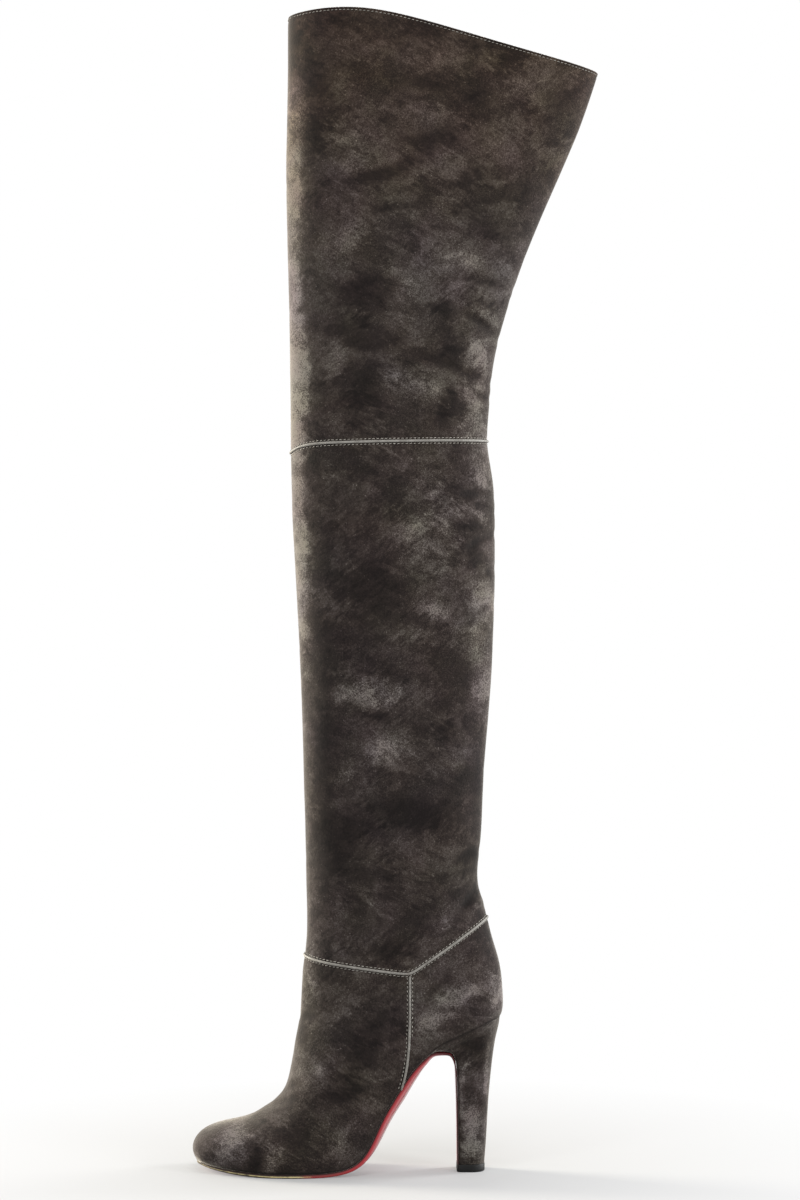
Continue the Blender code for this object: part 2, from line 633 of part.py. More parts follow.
def main():
    clear_scene()
    boot = bpy.data.collections.new("over_the_knee_boot")
    bpy.context.scene.collection.children.link(boot)
    build_outsole(boot)
    build_insole(boot)
    build_heel(boot)
    build_top_lift(boot)
    build_upper(boot)
    build_leg(boot)
    build_thigh(boot)
    build_hoop_piping("ankle_piping", ankle_height, boot)
    build_hoop_piping("knee_piping", knee_height, boot)
    build_side_piping("outer_side_piping", -1, boot)
    build_side_piping("inner_side_piping", 1, boot)


main()
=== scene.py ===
"""Looks of an over-the-knee boot, a left boot: brushed suede, piping, stitches, lining and a red sole.

Sizes and tables are in millimetres and are scaled once, where points go into a mesh. The frame is that of
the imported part: +Z is up, the toe points along -X and the outer side of the leg is -Y.
"""

import itertools
import math

import bmesh
import bpy
import numpy as np
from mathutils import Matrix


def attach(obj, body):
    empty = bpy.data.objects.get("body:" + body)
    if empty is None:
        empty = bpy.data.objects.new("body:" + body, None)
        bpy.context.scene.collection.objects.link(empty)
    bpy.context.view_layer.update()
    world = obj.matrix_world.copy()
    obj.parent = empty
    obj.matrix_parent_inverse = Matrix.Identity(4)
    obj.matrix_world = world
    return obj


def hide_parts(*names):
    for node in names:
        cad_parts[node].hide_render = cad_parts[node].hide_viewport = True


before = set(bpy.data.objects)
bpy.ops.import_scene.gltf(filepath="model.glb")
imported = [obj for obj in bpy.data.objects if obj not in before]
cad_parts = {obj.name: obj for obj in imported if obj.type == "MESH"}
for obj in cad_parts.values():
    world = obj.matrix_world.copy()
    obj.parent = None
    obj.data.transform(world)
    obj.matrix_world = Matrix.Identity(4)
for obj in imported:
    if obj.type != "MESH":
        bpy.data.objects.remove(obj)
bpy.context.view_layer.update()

MM = 0.001
SIDES = OUTER, INNER = -1, 1  # signs of y

# Sizes of the pieces.
WALL = 2.0  # suede with its lining
GAP = 0.3  # between pieces that touch
RIM_RISE = 1.0  # height of the rounded fold along the collar
FOLD_ROWS = 5  # rows of faces that are suede turned in at the collar, about 9 mm
SOLE_THICKNESS = 2.7
WAIST_SWELL, WAIST_ROUNDING = 0.9, 1.5  # extra depth and edge radius of the waist under the arch
TOE_THINNING, TOE_THIN_FROM = 0.4, -105.0  # share of the thickness skived off towards the toe
LIP_THICKNESS = 2.5  # sole leather skived thin from the top of the arch
BREAST_THICKNESS = (0.8, 0.8, 0.8, 0.9, 1.1, 1.4, 1.8)  # and down the front of the heel, ring by ring
SOLE_OVERHANG = 0.6  # sole edge beyond the upper's feather line
SOLE_EDGE_RADIUS = 1.0
EDGE_RADIUS_SHARE = 0.75  # most of the sole's thickness that its rounding may take
# Extra depth along the middle of the sole: x and depth.
SOLE_CAMBER = ((-50, 0), (-38, 0.3), (-20, 1.9), (0, 2.6), (12, 2.2), (22, 1), (34, 0.2), (60, 0))
LIFT_HEIGHT, LIFT_EDGE = 5.3, 0.5
PIPING_HALF_WIDTH, PIPING_HALF_HEIGHT = 0.9, 0.75
PIPING_CENTRE = 0.45  # above the suede
STITCH_OFFSET = 1.85  # from the middle of the piping
COLLAR_STITCH_OFFSET = 2.1  # from the top of the collar
STITCH_PITCH = 2.9
STITCH_HALF_LENGTH, STITCH_RADIUS = 0.95, 0.26
STITCH_SLANT = 0.16  # radians
STITCH_ARCH = 0.3  # height of a stitch's middle over its ends
STITCH_SIGHT = 0.5  # distance along the row, both ways, that gives a stitch its direction
# Shares of a stitch's half length, and of its radius there.
STITCH_PROFILE = ((-1.0, 0.35), (-0.72, 0.82), (-0.25, 1.0), (0.25, 1.0), (0.72, 0.82), (1.0, 0.35))

# Mesh fineness.
SIDE_COLUMNS = 106  # from the front line to the back line, on each side
FOOT_ROWS, ANKLE_ROWS, LEG_ROWS, THIGH_ROWS = 170, 34, 205, 170
RIM_STEPS = 3
HEEL_ROWS, HEEL_SIDE_COLUMNS = 90, 40
SOLE_TIP_STATIONS, SOLE_FOOT_STATIONS, SOLE_BREAST_STATIONS = 14, 170, 90
SOLE_TIP_START = 0.12  # root of the first station's share of the way from the tip to the feather line
SOLE_TURN = 6  # stations that lead into the sole's turn down the heel
SOLE_ACROSS, SOLE_EDGE_STEPS = 12, 4
HOOP_STATIONS, SIDE_SEAM_STATIONS = 480, 120
PIPING_SIDES, STITCH_SIDES = 14, 6
SEAM_STEPS = 36  # halvings when a place is looked for on the surface
NORMAL_STEP, NORMAL_TURN = 0.05, 0.004  # along and round the surface, to find its normals
WELD = 1e-6  # metres
SHARP_ANGLE = 50.0  # degrees, above which an edge is shaded sharp

# Plan of the sole. Stations are along X, and widths are measured from the heel-to-ball axis, Y = 0.
TOE_TIP_X, TOE_TIP_Y = -141.0, 5.0
TOE_ROUNDNESS = 1.9  # superellipse power of the toe outline: 2 is round, less is more almond
BALL_HALF = 36.0
SEAT_X, SEAT_HALF = 48.0, 23.6
SWELL_X, SWELL_RUN = 0.0, 40.0  # middle of the rounded waist, and the run over which it fades
HEEL_BACK_X = 74.2
# Ball station, waist station, waist half width and the tip's distance from the axis, for each edge.
OUTER_EDGE = (-72.0, 10.0, 23.2, -TOE_TIP_Y)
INNER_EDGE = (-86.0, 0.0, 19.8, TOE_TIP_Y)

# Sections of the boot, from the toe round the foot and up the leg, as the solids have them. Each is a loop
# in the plane through a front point and a back point. Half widths are from Y = 0. Widest is the share of the
# way from front to back where the loop is widest, and the two powers shape its front and its back.
SECTION_COLUMNS = (
    "front_x", "front_z", "back_x", "back_z", "half_outer", "half_inner",
    "ridge_y", "widest", "front_n", "back_n",
)
SECTIONS = (
    ("toe edge", -141, 6.9, -136, 6.4, 9.5, 17.3, 5, 0.95, 2, 2),
    ("toe rise", -144, 14.5, -131.5, 5.7, 17.4, 24.4, 5, 0.64, 2, 2),
    ("toe bend", -142.2, 22, -125, 5, 23.2, 29.2, 5, 0.62, 2, 2),
    ("toe top", -135.2, 28.9, -116, 4.3, 28.6, 33.2, 4.8, 0.62, 2, 2),
    ("toe box", -122.5, 33.9, -105, 3.6, 33.2, 36.4, 4.4, 0.64, 2, 2.1),
    ("vamp", -107, 37.3, -91, 2.9, 36.9, 38.2, 4, 0.66, 2, 2.2),
    ("ball", -92.3, 44.8, -75, 2.85, 38.8, 38, 3.5, 0.66, 1.95, 2.2),
    ("vamp bend", -80.4, 55.5, -58, 2.9, 39, 37, 3, 0.65, 1.9, 2.2),
    ("low instep", -76.3, 65, -44, 3.7, 38, 35.6, 2.6, 0.62, 1.9, 2.2),
    ("instep", -74.5, 73, -30.6, 7.1, 36.6, 34.2, 2.2, 0.60, 1.9, 2.2),
    ("high instep", -73, 81, -20.6, 16, 35.3, 33.2, 1.8, 0.58, 1.9, 2.2),
    ("arch low", -71.8, 88.5, -9.6, 37.8, 34.3, 32.6, 1.4, 0.56, 1.9, 2.2),
    ("arch", -70.6, 95.5, 2.3, 58.1, 33.5, 32.2, 1, 0.54, 1.95, 2.3),
    ("arch high", -69.3, 102, 13.9, 74.8, 32.9, 32, 0.7, 0.52, 2, 2.4),
    ("seat front", -68.3, 108, 28, 87.6, 32.5, 31.9, 0.5, 0.50, 2, 2.5),
    ("seat", -67.5, 113.5, 45, 97, 32.2, 31.9, 0.3, 0.49, 2, 2.7),
    ("seat back", -67.1, 119, 60, 103.6, 32.1, 31.9, 0.2, 0.48, 2.05, 2.8),
    ("seat end", -66.8, 124, 70, 107.9, 32.1, 32, 0.1, 0.47, 2.1, 2.8),
    ("heel back", -66.5, 129.5, 74.2, 110, 32.1, 32.1, 0, 0.46, 2.1, 2.8),
    ("counter", -66.1, 136, 75.9, 127, 32.3, 32.3, 0, 0.46, 2.15, 2.7),
    ("ankle", -65.6, 143, 74.4, 143, 32.6, 32.6, 0, 0.46, 2.2, 2.5),
    ("over ankle", -63.2, 163, 69.2, 163, 33, 33, 0, 0.46, 2.2, 2.2),
    ("low leg", -62.8, 180, 64.8, 180, 33.2, 33.2, 0, 0.46, 2.2, 2),
    ("fold", -63, 192, 61.6, 192, 33.2, 33.2, 0, 0.46, 2.2, 1.95),
    ("narrow", -63.3, 204, 58.8, 204, 33.2, 33.2, 0, 0.46, 2.2, 1.9),
    ("shin", -63.6, 228, 60, 228, 33.6, 33.6, 0, 0.46, 2.2, 1.9),
    ("low calf", -64.6, 270, 62.2, 270, 35, 35, 0, 0.46, 2.2, 1.85),
    ("calf", -66.6, 333, 67, 333, 36.6, 36.6, 0, 0.46, 2.2, 1.85),
    ("high calf", -69.6, 397, 69.9, 397, 37.5, 37.5, 0, 0.46, 2.2, 1.85),
    ("under knee", -72.6, 455, 70.7, 455, 37.5, 37.5, 0, 0.46, 2.2, 1.85),
    ("knee bend", -73.8, 490, 69, 490, 37, 37, 0, 0.46, 2.2, 1.85),
    ("knee", -74.3, 515, 65.2, 515, 36.6, 36.6, 0, 0.46, 2.2, 1.85),
    ("over knee", -74.5, 540, 66.4, 540, 36.8, 36.8, 0, 0.46, 2.2, 1.85),
    ("low thigh", -74.9, 567, 68.9, 567, 37.4, 37.4, 0, 0.46, 2.2, 1.8),
    ("thigh", -75.3, 610, 79.2, 610, 38.6, 38.6, 0, 0.45, 2.2, 1.8),
    ("flare", -76.6, 653, 94.1, 653, 40, 40, 0, 0.43, 2.2, 1.75),
    ("high thigh", -77.5, 695, 111.8, 695, 41.2, 41.2, 0, 0.41, 2.2, 1.75),
    ("under collar", -77, 738, 130.3, 738, 42, 42, 0, 0.40, 2.2, 1.75),
    ("collar back", -76.3, 779, 144.2, 779, 42, 42, 0, 0.40, 2.2, 1.75),
    ("over collar", -76.3, 830, 160, 830, 42, 42, 0, 0.40, 2.2, 1.75),
)

# Collar edge, seen from the side: x and z.
COLLAR = ((-78, 817.2), (-50, 819), (-22, 817.7), (20, 808.7), (75, 793.9), (144, 778.2))

# Knee seam, ankle seam and side seam, as the solids have them.
KNEE_SEAM_Z, KNEE_SEAM_SLOPE = 515.4, 0.022
KNEE_SEAM_DIP, KNEE_SEAM_DIP_POWER = 5.2, 8.0
ANKLE_FRONT, ANKLE_BACK = (-65.0, 151.4), (65.0, 179.6)
ANKLE_POINT_X, ANKLE_POINT_Z = 10.2, 141.8
ANKLE_POINT_SOFTNESS = 1.2
ANKLE_FRONT_RISE, ANKLE_FRONT_RISE_POWER = 1.6, 8.0
SIDE_SEAM_SWING, SIDE_SEAM_POWER = 6.4, 4.5
SIDE_SEAM_FOOT_Z = 60.8
SIDE_SEAM_TOP_CLEARANCE = 1.0
BACK_ROW_FOOT_Z = 98.0  # where the row of stitches behind the side seam ends

# Heel block, ring by ring: front x, front z, back x, back z and half width.
HEEL = (
    (44.6, 5.6, 63, 5.6, 11.6), (44.4, 24, 64.4, 24, 12.2), (44, 50, 65.9, 50, 13.7),
    (43.5, 68, 67.8, 71, 15.8), (42.3, 79, 69.5, 85, 18), (39.2, 84.5, 71.3, 95.5, 20),
    (33, 86, 73.1, 103, 21.8),
)
HEEL_TOP_FRONT_X = 25.5
COVER_RING = (HEEL_TOP_FRONT_X, 85.6, 73.65, 106.5, 24.4)  # one more ring, where its cover flares
COVER_FRONT_X, COVER_RUN = 20.5, 9.0  # where the cover's line leaves the sole, and its rise from there
COVER_SINK = 0.12  # depth of the cover's top edge under the face of the upper
SOLE_LIP_RUN = 6.0
HEEL_WIDEST = 0.5  # share of the way along a ring where it is widest
HEEL_POWERS = (7.0, 2.3)  # shape of its front and its back
SEAT_COVER = 0.33  # how far up the upper the heel's cover reaches, as an angle of its sections
LIFT_FRONT_X, LIFT_BACK_X, LIFT_HALF = 43.2, 63.3, 11.8

# Creases, placed in the boot's own sizes, seen from its outer side: whether a crease starts at the
# front or back line, its depth, half width, and the points it runs through, as (x, z). A negative depth is
# a ridge. The inner side has the same creases, but shallower.
CREASES = (
    # Thigh.
    (True, 1.2, 3.6, (69, 547.5), (58, 548.5), (50, 553)),
    (True, 1.4, 4.5, (68, 558), (60, 560), (41, 567.5), (17, 575), (1, 579)),
    (True, 1.2, 4, (73.5, 589), (60, 599), (47, 605.5), (34, 606.5)),
    (True, 0.9, 3.6, (81.5, 617), (65, 612.5), (50, 616)),
    (True, 1, 4, (84, 624.5), (69.5, 626.5), (50.5, 629), (31.5, 633)),
    (True, 0.5, 5, (91.5, 647), (72, 648), (53, 643)),
    (True, 0.6, 3.6, (-77.5, 697.5), (-68, 701), (-58, 705)),
    (True, 0.5, 3.5, (-76.9, 664.5), (-70, 667), (-62, 668)),
    (True, 0.5, 3.2, (-75.9, 636), (-58, 635), (-42, 636)),
    (True, 0.5, 4, (-75.3, 608), (-63, 609), (-50, 610)),
    (False, 0.5, 5, (-39, 694), (-13, 701), (13, 701.5)),
    (False, 0.4, 5, (-23, 683.5), (-4, 690.5), (20, 688)),
    (False, 0.6, 4.5, (37, 551), (31.5, 539), (38, 527)),
    # Leg.
    (True, 1.4, 3.8, (69.9, 477), (56, 480), (41, 473)),
    (True, 1.1, 3.6, (70.5, 466), (60, 470.5), (49, 463.5)),
    (True, 1.4, 4, (70.8, 451), (62.5, 447), (52, 440), (48, 430)),
    (True, 0.9, 4, (70.5, 427), (60, 421), (51, 419)),
    (True, 0.8, 4, (70, 402), (58.5, 396.5), (48, 396)),
    (False, -0.5, 6, (8, 405), (27, 396.5), (44, 394)),
    (False, 0.3, 4.5, (-36, 329.5), (-14, 321.5), (8, 317.5)),
    (True, 0.5, 5, (67.8, 361), (55, 350), (44, 346)),
    (True, 0.5, 5.5, (62.9, 285), (46.5, 279), (24.5, 268)),
    (True, 0.9, 4.2, (60, 227.5), (46.5, 223), (35, 218)),
    # Ankle and shin.
    (True, 1.7, 4.2, (58.9, 200.5), (53, 193), (43.5, 185), (34, 180.5)),
    (True, -1.1, 4, (62.2, 190.5), (56, 186.5), (48, 181.5)),
    (False, 0.5, 4.5, (19, 198.5), (32.5, 208), (46, 213.5)),
    (True, 0.4, 4, (-63.6, 222), (-55, 216.5), (-46, 214)),
    (True, 0.4, 4, (-68.4, 372), (-55, 364), (-44, 362)),
    (False, 0.5, 5, (-27, 200), (-8, 196), (12, 192)),
    # Foot.
    (True, 1.1, 4, (-68.2, 109), (-60.5, 111), (-52, 109)),
    (True, 0.8, 4.6, (-78.6, 57), (-71, 63.5), (-60, 66)),
    (True, 0.7, 4.6, (-88.5, 47.5), (-78.5, 51), (-65, 54.5)),
    (True, 0.6, 4.6, (-101, 40), (-88, 36), (-78, 30)),
    (False, 0.6, 5.5, (6, 126.5), (-12.5, 109), (-34, 98)),
    (False, 0.5, 5, (-50, 67), (-39.5, 70.5), (-27, 63.5)),
    (False, 0.4, 5, (-44, 54.5), (-35, 56.5), (-26, 53)),
    (False, 0.4, 4, (15.5, 118.5), (28, 134.5), (42, 145)),
)
CREASE_SHOULDER = 0.55  # height of the soft ridges beside a trough, against its depth
CREASE_FADE = 0.5  # share of its length over which a crease fades out
CREASE_AT_EDGE = 0.2  # share of its depth with which a crease starts at the front or back line
CREASE_STATIONS = 24
CREASE_REACH = 4  # half widths from which a crease isn't felt
CREASE_PAINTED_SHADE = 0.7  # lightness for each millimetre that the suede is raised: painted shade in troughs, painted highlight on ridges
INNER_CREASE_SHARE = 0.7
CALM_WIDTH = 6.0  # creases fade out towards seams and edges
SLACK_WAVES = ((52.0, 0.75), (21.0, 0.28), (9.0, 0.07))  # width and height of the unevenness of slack suede
SLACK_AT_EDGE = 0.35  # share of it that is left at the front and back lines
SLACK_SIDE_Y = 20.0
SEAM_PULL, SEAM_PULL_WIDTH = 0.28, 0.9  # dip along the rows of stitches

# Marks in the nap: x, z, half length, half width, tilt in degrees and strength, from -1 for dark to 1 for
# light. They are partly brushed nap and partly painted light: the dark upright marks down the shaft are
# painted shade, and the pale and dark strokes beside the wrinkles at the back under the knee are painted
# highlight and painted shade.
NAP_MARKS_AND_PAINTED_LIGHT = (
    # Thigh.
    (0, 800, 80, 14, -8, -0.34), (-50, 775, 16, 20, 0, -0.27), (-18, 766, 14, 13, 0, 0.2),
    (20, 766, 10, 8, 20, -0.54), (58, 754, 14, 6, 15, -0.47), (84, 757, 20, 9, 0, 0.27),
    (117, 757, 12, 9, 0, -0.47), (32, 745, 30, 5, 10, 0.27), (29, 724, 25, 7, 5, -0.54),
    (-35, 728, 14, 5, 0, 0.27), (-23, 710, 12, 7, 0, 0.27), (-4, 705, 30, 6, 12, -0.47),
    (53, 698, 16, 7, 0, -0.54), (84, 688, 14, 9, 30, -0.41), (-4, 679, 22, 6, 0, -0.54),
    (50, 676, 18, 6, 0, -0.47), (-40, 655, 20, 13, 0, 0.27), (69, 664, 20, 7, 0, -0.41),
    (46, 641, 20, 7, 10, 0.34), (-24, 618, 22, 15, 0, -0.68), (7, 622, 12, 11, 0, 0.41),
    (32, 610, 10, 5, 0, -0.68), (56, 606, 17, 6, -30, 0.47), (-25, 590, 30, 9, -10, -0.68),
    (41, 579, 8, 7, 0, -0.81), (54, 578, 16, 8, -30, 0.38), (-44, 572, 12, 8, 45, 0.34),
    (-25, 552, 32, 20, 90, -0.54), (13, 553, 25, 7, -20, 0.47), (38, 540, 14, 8, 70, -0.81),
    (53, 540, 20, 11, 90, 0.47),
    # Leg.
    (-24, 445, 66, 24, 90, -0.35), (27, 457, 50, 24, 85, 0.42), (-14, 405, 25, 18, 0, -0.25),
    (25, 398, 21, 7, -10, 0.32), (46, 478, 10, 5, 5, -0.65), (59, 490, 8, 2.6, -65, 0.5),
    (56, 465, 11, 2.6, -12, 0.65), (56, 455, 14, 4.5, 0, -0.6), (56, 434, 7, 5, 90, -0.7),
    (62, 406, 18, 7, 90, 0.45), (48, 375, 20, 12, 0, 0.3), (63, 347, 16, 6, 90, 0.5),
    (-18, 339, 26, 9, 5, 0.81), (-12, 324, 14, 2.5, -10, -0.5), (-6, 299, 18, 11, 0, 0.56),
    (-38, 279, 11, 7, 0, 0.56), (33, 317, 19, 18, 0, -0.38), (14, 252, 36, 14, 0, -0.62),
    (0, 205, 60, 34, 0, -0.25), (-33, 238, 30, 18, 90, -0.56), (-17, 197, 22, 5, -10, 0.56),
    (49, 226, 13, 5, 15, -0.62), (54, 206, 8, 6, 90, 0.56), (35, 184, 13, 7, 40, 0.5),
    (-46, 188, 12, 9, 90, 0.38), (0, 157, 20, 6, 0, -0.5),
    # Foot.
    (-114, 22, 14, 12, 20, 0.8), (-132, 16, 9, 7, 60, -0.25), (-112, 5, 13, 3.5, -5, -0.5),
    (-101, 16, 9, 8, 30, -0.7), (-87, 14, 12, 8, 50, 0.6), (-71, 28, 11, 8, 60, -0.5),
    (-53.5, 78, 6, 5, 0, 0.5), (-66, 70, 10, 5, 70, 0.4), (-22, 87, 24, 16, 70, -0.6),
    (-36, 59, 12, 7, 10, -0.5), (-38, 27, 13, 7, 40, 0.35), (2, 112, 30, 5, 90, -0.45),
    (46, 129, 15, 7, 10, 0.8), (27, 110, 17, 9, 15, 0.55), (37, 140, 10, 4, 30, -0.35),
    (71, 130, 10, 5, 90, 0.6),
    # Heel.
    (56, 91, 10, 7, 20, -0.65), (52, 60, 10, 5, 90, -0.3), (53, 36, 10, 6, 90, 0.55),
    (61, 49, 7, 3, 90, -0.5), (54, 18, 11, 9, 90, 0.4), (55, 34, 34, 14, 90, 0.25),
    (46, 60, 20, 3, 90, 0.45), (67, 62, 42, 2.5, 90, 0.5),
)
NAP_WARPS = ((17.0, 6.0), (5.5, 1.8))  # width and strength of the wander of a mark's outline
WARP_X_SHIFT, WARP_Z_SHIFT = 0.3, 7.7  # places in the noise for the wander along x and along z
NAP_CRISPNESS = 1.7  # more gives a mark a crisper outline
# Bands of painted highlight, partly pale nap, down the front and back lines: height, width, lightness and
# the painted shade inside them.
FRONT_PAINTED_LIGHT = (
    (100, 6, 0.2, 0), (128, 11, 0.5, 0.2), (150, 5, 0.3, 0.5), (200, 4, 0.1, 0.5), (290, 4.5, 0.1, 0.5),
    (345, 6, 0.45, 0.45), (400, 8.5, 0.75, 0.3), (440, 12, 1, 0.2), (500, 11, 1, 0.2), (524, 10.5, 1, 0.2),
    (545, 14, 1.1, 0.2), (578, 14.5, 1.05, 0.2), (606, 9, 0.9, 0.1), (626, 10, 0.9, 0.1),
    (642, 8.5, 0.9, 0.1), (666, 9, 0.85, 0.2), (692, 12, 0.85, 0.3), (745, 12, 0.55, 0.5),
    (765, 10, 0.2, 0.45), (785, 7, -0.55, 0.3), (815, 7, -0.7, 0.1),
)
BACK_PAINTED_LIGHT = (
    (100, 6, 0.2, 0), (128, 9, 0.3, 0), (165, 9, -0.35, 0), (200, 11, -0.4, 0), (240, 8, -0.3, 0),
    (290, 8, -0.25, 0.1), (340, 15, 0.45, 0), (395, 17, 0.42, 0), (440, 9, 0.2, 0.1), (490, 16, 0.45, 0),
    (545, 20, 0.2, 0), (600, 22, 0.25, 0), (640, 12, -0.05, 0), (690, 16, 0.2, 0), (770, 10, 0.1, 0),
    (815, 4, -0.2, 0),
)
BAND_FOOT_Z, BAND_FADE = 95.0, 25.0  # they begin at this height, over this rise
BAND_SOFT = 9.0  # width over which they end
BAND_SHADE_IN, BAND_SHADE_HALF = 9.0, 9.0  # place and half width of the dark nap inside them
BAND_WAVES = ((26.0, 2.5), (9.0, 2.2), (4.0, 1.2))  # width and strength of the wander of their edges
BAND_SHIFT = 3.1  # place in the noise for that wander
BAND_INNER_SHARE = 0.15  # share of them that is left on the inner side
BAND_INNER_FROM, BAND_INNER_TO = -6.0, 20.0  # y from which they fade to it
NAP_INNER_SHIFT = 83.0  # the inner side has the same marks elsewhere
NAP_BLEND = 9.0  # half width of the blend from side to side
NAP_EDGE_DARK, NAP_EDGE_WIDTH = 0.55, 1.6  # darker along the folded collar
SEAT_LINE_PAINTED_SHADE, SEAT_LINE_WIDTH = 0.9, 0.9  # painted shade where the heel meets the upper
SEAT_LINE_STEP = 8
SEAT_TOP_Z = 130.0  # above this there is no such line
FOOT_LINE_PAINTED_SHADE, FOOT_LINE_WIDTH = 1.8, 1.2  # painted shade along the sole, under the suede's lower edge

# Shades of the sole's leather, kept on its points. Natural leather shows at the edge ahead of the first worn
# station, and paint behind the second. Painted light is among them: a painted reflection along the lower
# edge of the waist, and painted shade against the upper.
SOLE_SHADES = ("worn_edge", "gold_edge", "tread", "dull_edge", "painted_reflection_edge", "dark_and_painted_shade_edge")
WORN_EDGE_FROM, WORN_EDGE_TO = -70.0, -58.0
EDGE_WEAR_REACH = 3.0  # how far the wear of the edge reaches under the sole
GOLD_EDGE_X, GOLD_EDGE_HALF = -76.0, 14.0  # the palest stretch of its bare line
GOLD_EDGE_LEAST = 0.75  # share of that paleness elsewhere
GOLD_EDGE_FROM, GOLD_EDGE_TO = -66.0, -44.0  # where the bare line ends
GOLD_EDGE_PLACE, GOLD_EDGE_WIDTH = 0.5, 0.24  # its place and half width, as shares of the edge's depth
TREAD_FROM, TREAD_TO = -30.0, -50.0
TREAD_INSET, TREAD_SOFT = 3.0, 8.0  # tread from the edge, and its soft border
DULL_FROM, DULL_TO = -26.0, -46.0  # paint dulled towards the forefoot
PALE_FROM, PALE_TO = -34.0, -8.0  # painted reflection of the white floor along the lower edge of the waist
PALE_DEPTH = 0.45  # share of the edge's depth where the painted reflection begins
PALE_WAIST = 0.4  # strength of the painted reflection along the waist, where it is 1 at the top of the arch
BREAST_DARK_RUN = 12.0  # run over which the edge goes dark beside the heel
EDGE_DARK_DEPTH, ARCH_DARK_DEPTH = 0.8, 1.5  # painted shade: a dark line against the upper, and its growth up the arch
ARCH_DARK_FROM, ARCH_DARK_TO = 14.0, 28.0

THREAD_TONE, COLLAR_THREAD_TONE = 0.85, 0.62

NOISE_SEED = 11
LATTICE_SIZE = 40
LATTICE = np.random.default_rng(NOISE_SEED).uniform(-1.0, 1.0, (LATTICE_SIZE,) * 3)

# Floor and lights, in metres and watts. Each light faces a height on the boot's middle line.
WHITE = (1.0, 1.0, 1.0)
FLOOR_HALF = 6.0
FLOOR_TONE = (0.275, 0.275, 0.275)
FLOOR_GLOW = 0.2  # share of the floor's white near the boot that no shadow darkens
FADE_NEAR, FADE_FAR = 0.08, 0.42
SOFTBOXES = (  # name, place, height that it faces, its own width and height, power and colour
    ("left softbox", (-1.8, 0.75, 0.6), 0.5, 0.6, 1.2, 152.0, (1.0, 0.94, 0.81)),
    ("right back softbox", (1.8, 0.7, 0.7), 0.5, 0.6, 1.2, 75.0, WHITE),
    ("right front softbox", (1.7, -1.3, 0.8), 0.4, 0.7, 0.9, 42.0, WHITE),
    ("front softbox", (-1.5, -1.9, 1.2), 0.4, 0.5, 0.5, 22.0, WHITE),
    ("top softbox", (0.1, -1.3, 2.3), 0.3, 1.0, 0.8, 22.0, WHITE),
)

# Camera: level, straight at the outer side, with the photograph's framing of 800 by 1200.
CAMERA_X, CAMERA_Y, CAMERA_Z = 3.2, -2200.0, 404.3
VIEW_HEIGHT = 852.0  # seen at the middle of the boot
SENSOR = 36.0


def between(value, low, high):
    """0 at low, 1 at high and smooth between them."""
    t = np.clip((value - low) / (high - low), 0.0, 1.0)
    return t * t * (3.0 - 2.0 * t)


def bell(distance, width):
    """1 at no distance, falling off softly on both sides."""
    return np.exp(-((distance / width) ** 2))


def unit(vectors):
    return vectors / np.linalg.norm(vectors, axis=-1, keepdims=True)


def natural_spline(knots, values):
    """A function for the natural cubic spline through the values at the knots. The values may be vectors."""
    knots = np.asarray(knots, float)
    values = np.asarray(values, float)
    step = np.diff(knots)
    count = len(knots)
    system = np.eye(count)
    slope = np.zeros_like(values)
    for i in range(1, count - 1):
        system[i, i - 1:i + 2] = step[i - 1], 2 * (step[i - 1] + step[i]), step[i]
        slope[i] = 6 * ((values[i + 1] - values[i]) / step[i] - (values[i] - values[i - 1]) / step[i - 1])
    bend = np.linalg.solve(system, slope.reshape(count, -1)).reshape(values.shape)

    def at(t):
        t = np.asarray(t, float)
        i = np.clip(np.searchsorted(knots, t) - 1, 0, count - 2)
        spread = t.shape + (1,) * (values.ndim - 1)
        h = step[i].reshape(spread)
        a = ((knots[i + 1] - t) / step[i]).reshape(spread)
        b = 1.0 - a
        curve = ((a ** 3 - a) * bend[i] + (b ** 3 - b) * bend[i + 1]) * h * h / 6
        return a * values[i] + b * values[i + 1] + curve

    return at


def chord_knots(points):
    """Knots spaced by the distance between points, or by the mean distance between rings of points."""
    moved = np.linalg.norm(np.diff(points, axis=0), axis=-1)
    return np.concatenate([[0.0], np.cumsum(moved.reshape(len(moved), -1).mean(axis=1))])


ROWS = np.array([row[1:] for row in SECTIONS])
KNOTS = chord_knots(ROWS[:, :4].reshape(-1, 2, 2))
KNOT_OF = dict(zip((row[0] for row in SECTIONS), KNOTS))
HEEL_BACK_KNOT, COUNTER_KNOT = KNOT_OF["heel back"], KNOT_OF["counter"]
SECTION_AT = natural_spline(KNOTS, ROWS)
COLLAR_AT = natural_spline(*zip(*COLLAR))


def section(s):
    """The columns of the table, at sections s."""
    return dict(zip(SECTION_COLUMNS, np.moveaxis(SECTION_AT(s), -1, 0)))


def edge_half_width(x, ball_x, waist_x, waist, tip):
    """Distance of one edge of the sole from Y = 0 at station x."""
    toe_share = np.clip((ball_x - x) / (ball_x - TOE_TIP_X), 0.0, 1.0)
    toe = tip + (BALL_HALF - tip) * (1 - toe_share ** TOE_ROUNDNESS) ** (1 / TOE_ROUNDNESS)
    arch = BALL_HALF + (waist - BALL_HALF) * between(x, ball_x, waist_x)
    seat = waist + (SEAT_HALF - waist) * between(x, waist_x, SEAT_X)
    back_share = np.clip((x - SEAT_X) / (HEEL_BACK_X - SEAT_X), 0.0, 1.0)
    back = SEAT_HALF * np.sqrt(1 - back_share * back_share)
    return np.select([x < ball_x, x < waist_x, x < SEAT_X], [toe, arch, seat], back)


def sole_half_width(x, side):
    return np.where(side < 0, edge_half_width(x, *OUTER_EDGE), edge_half_width(x, *INNER_EDGE))


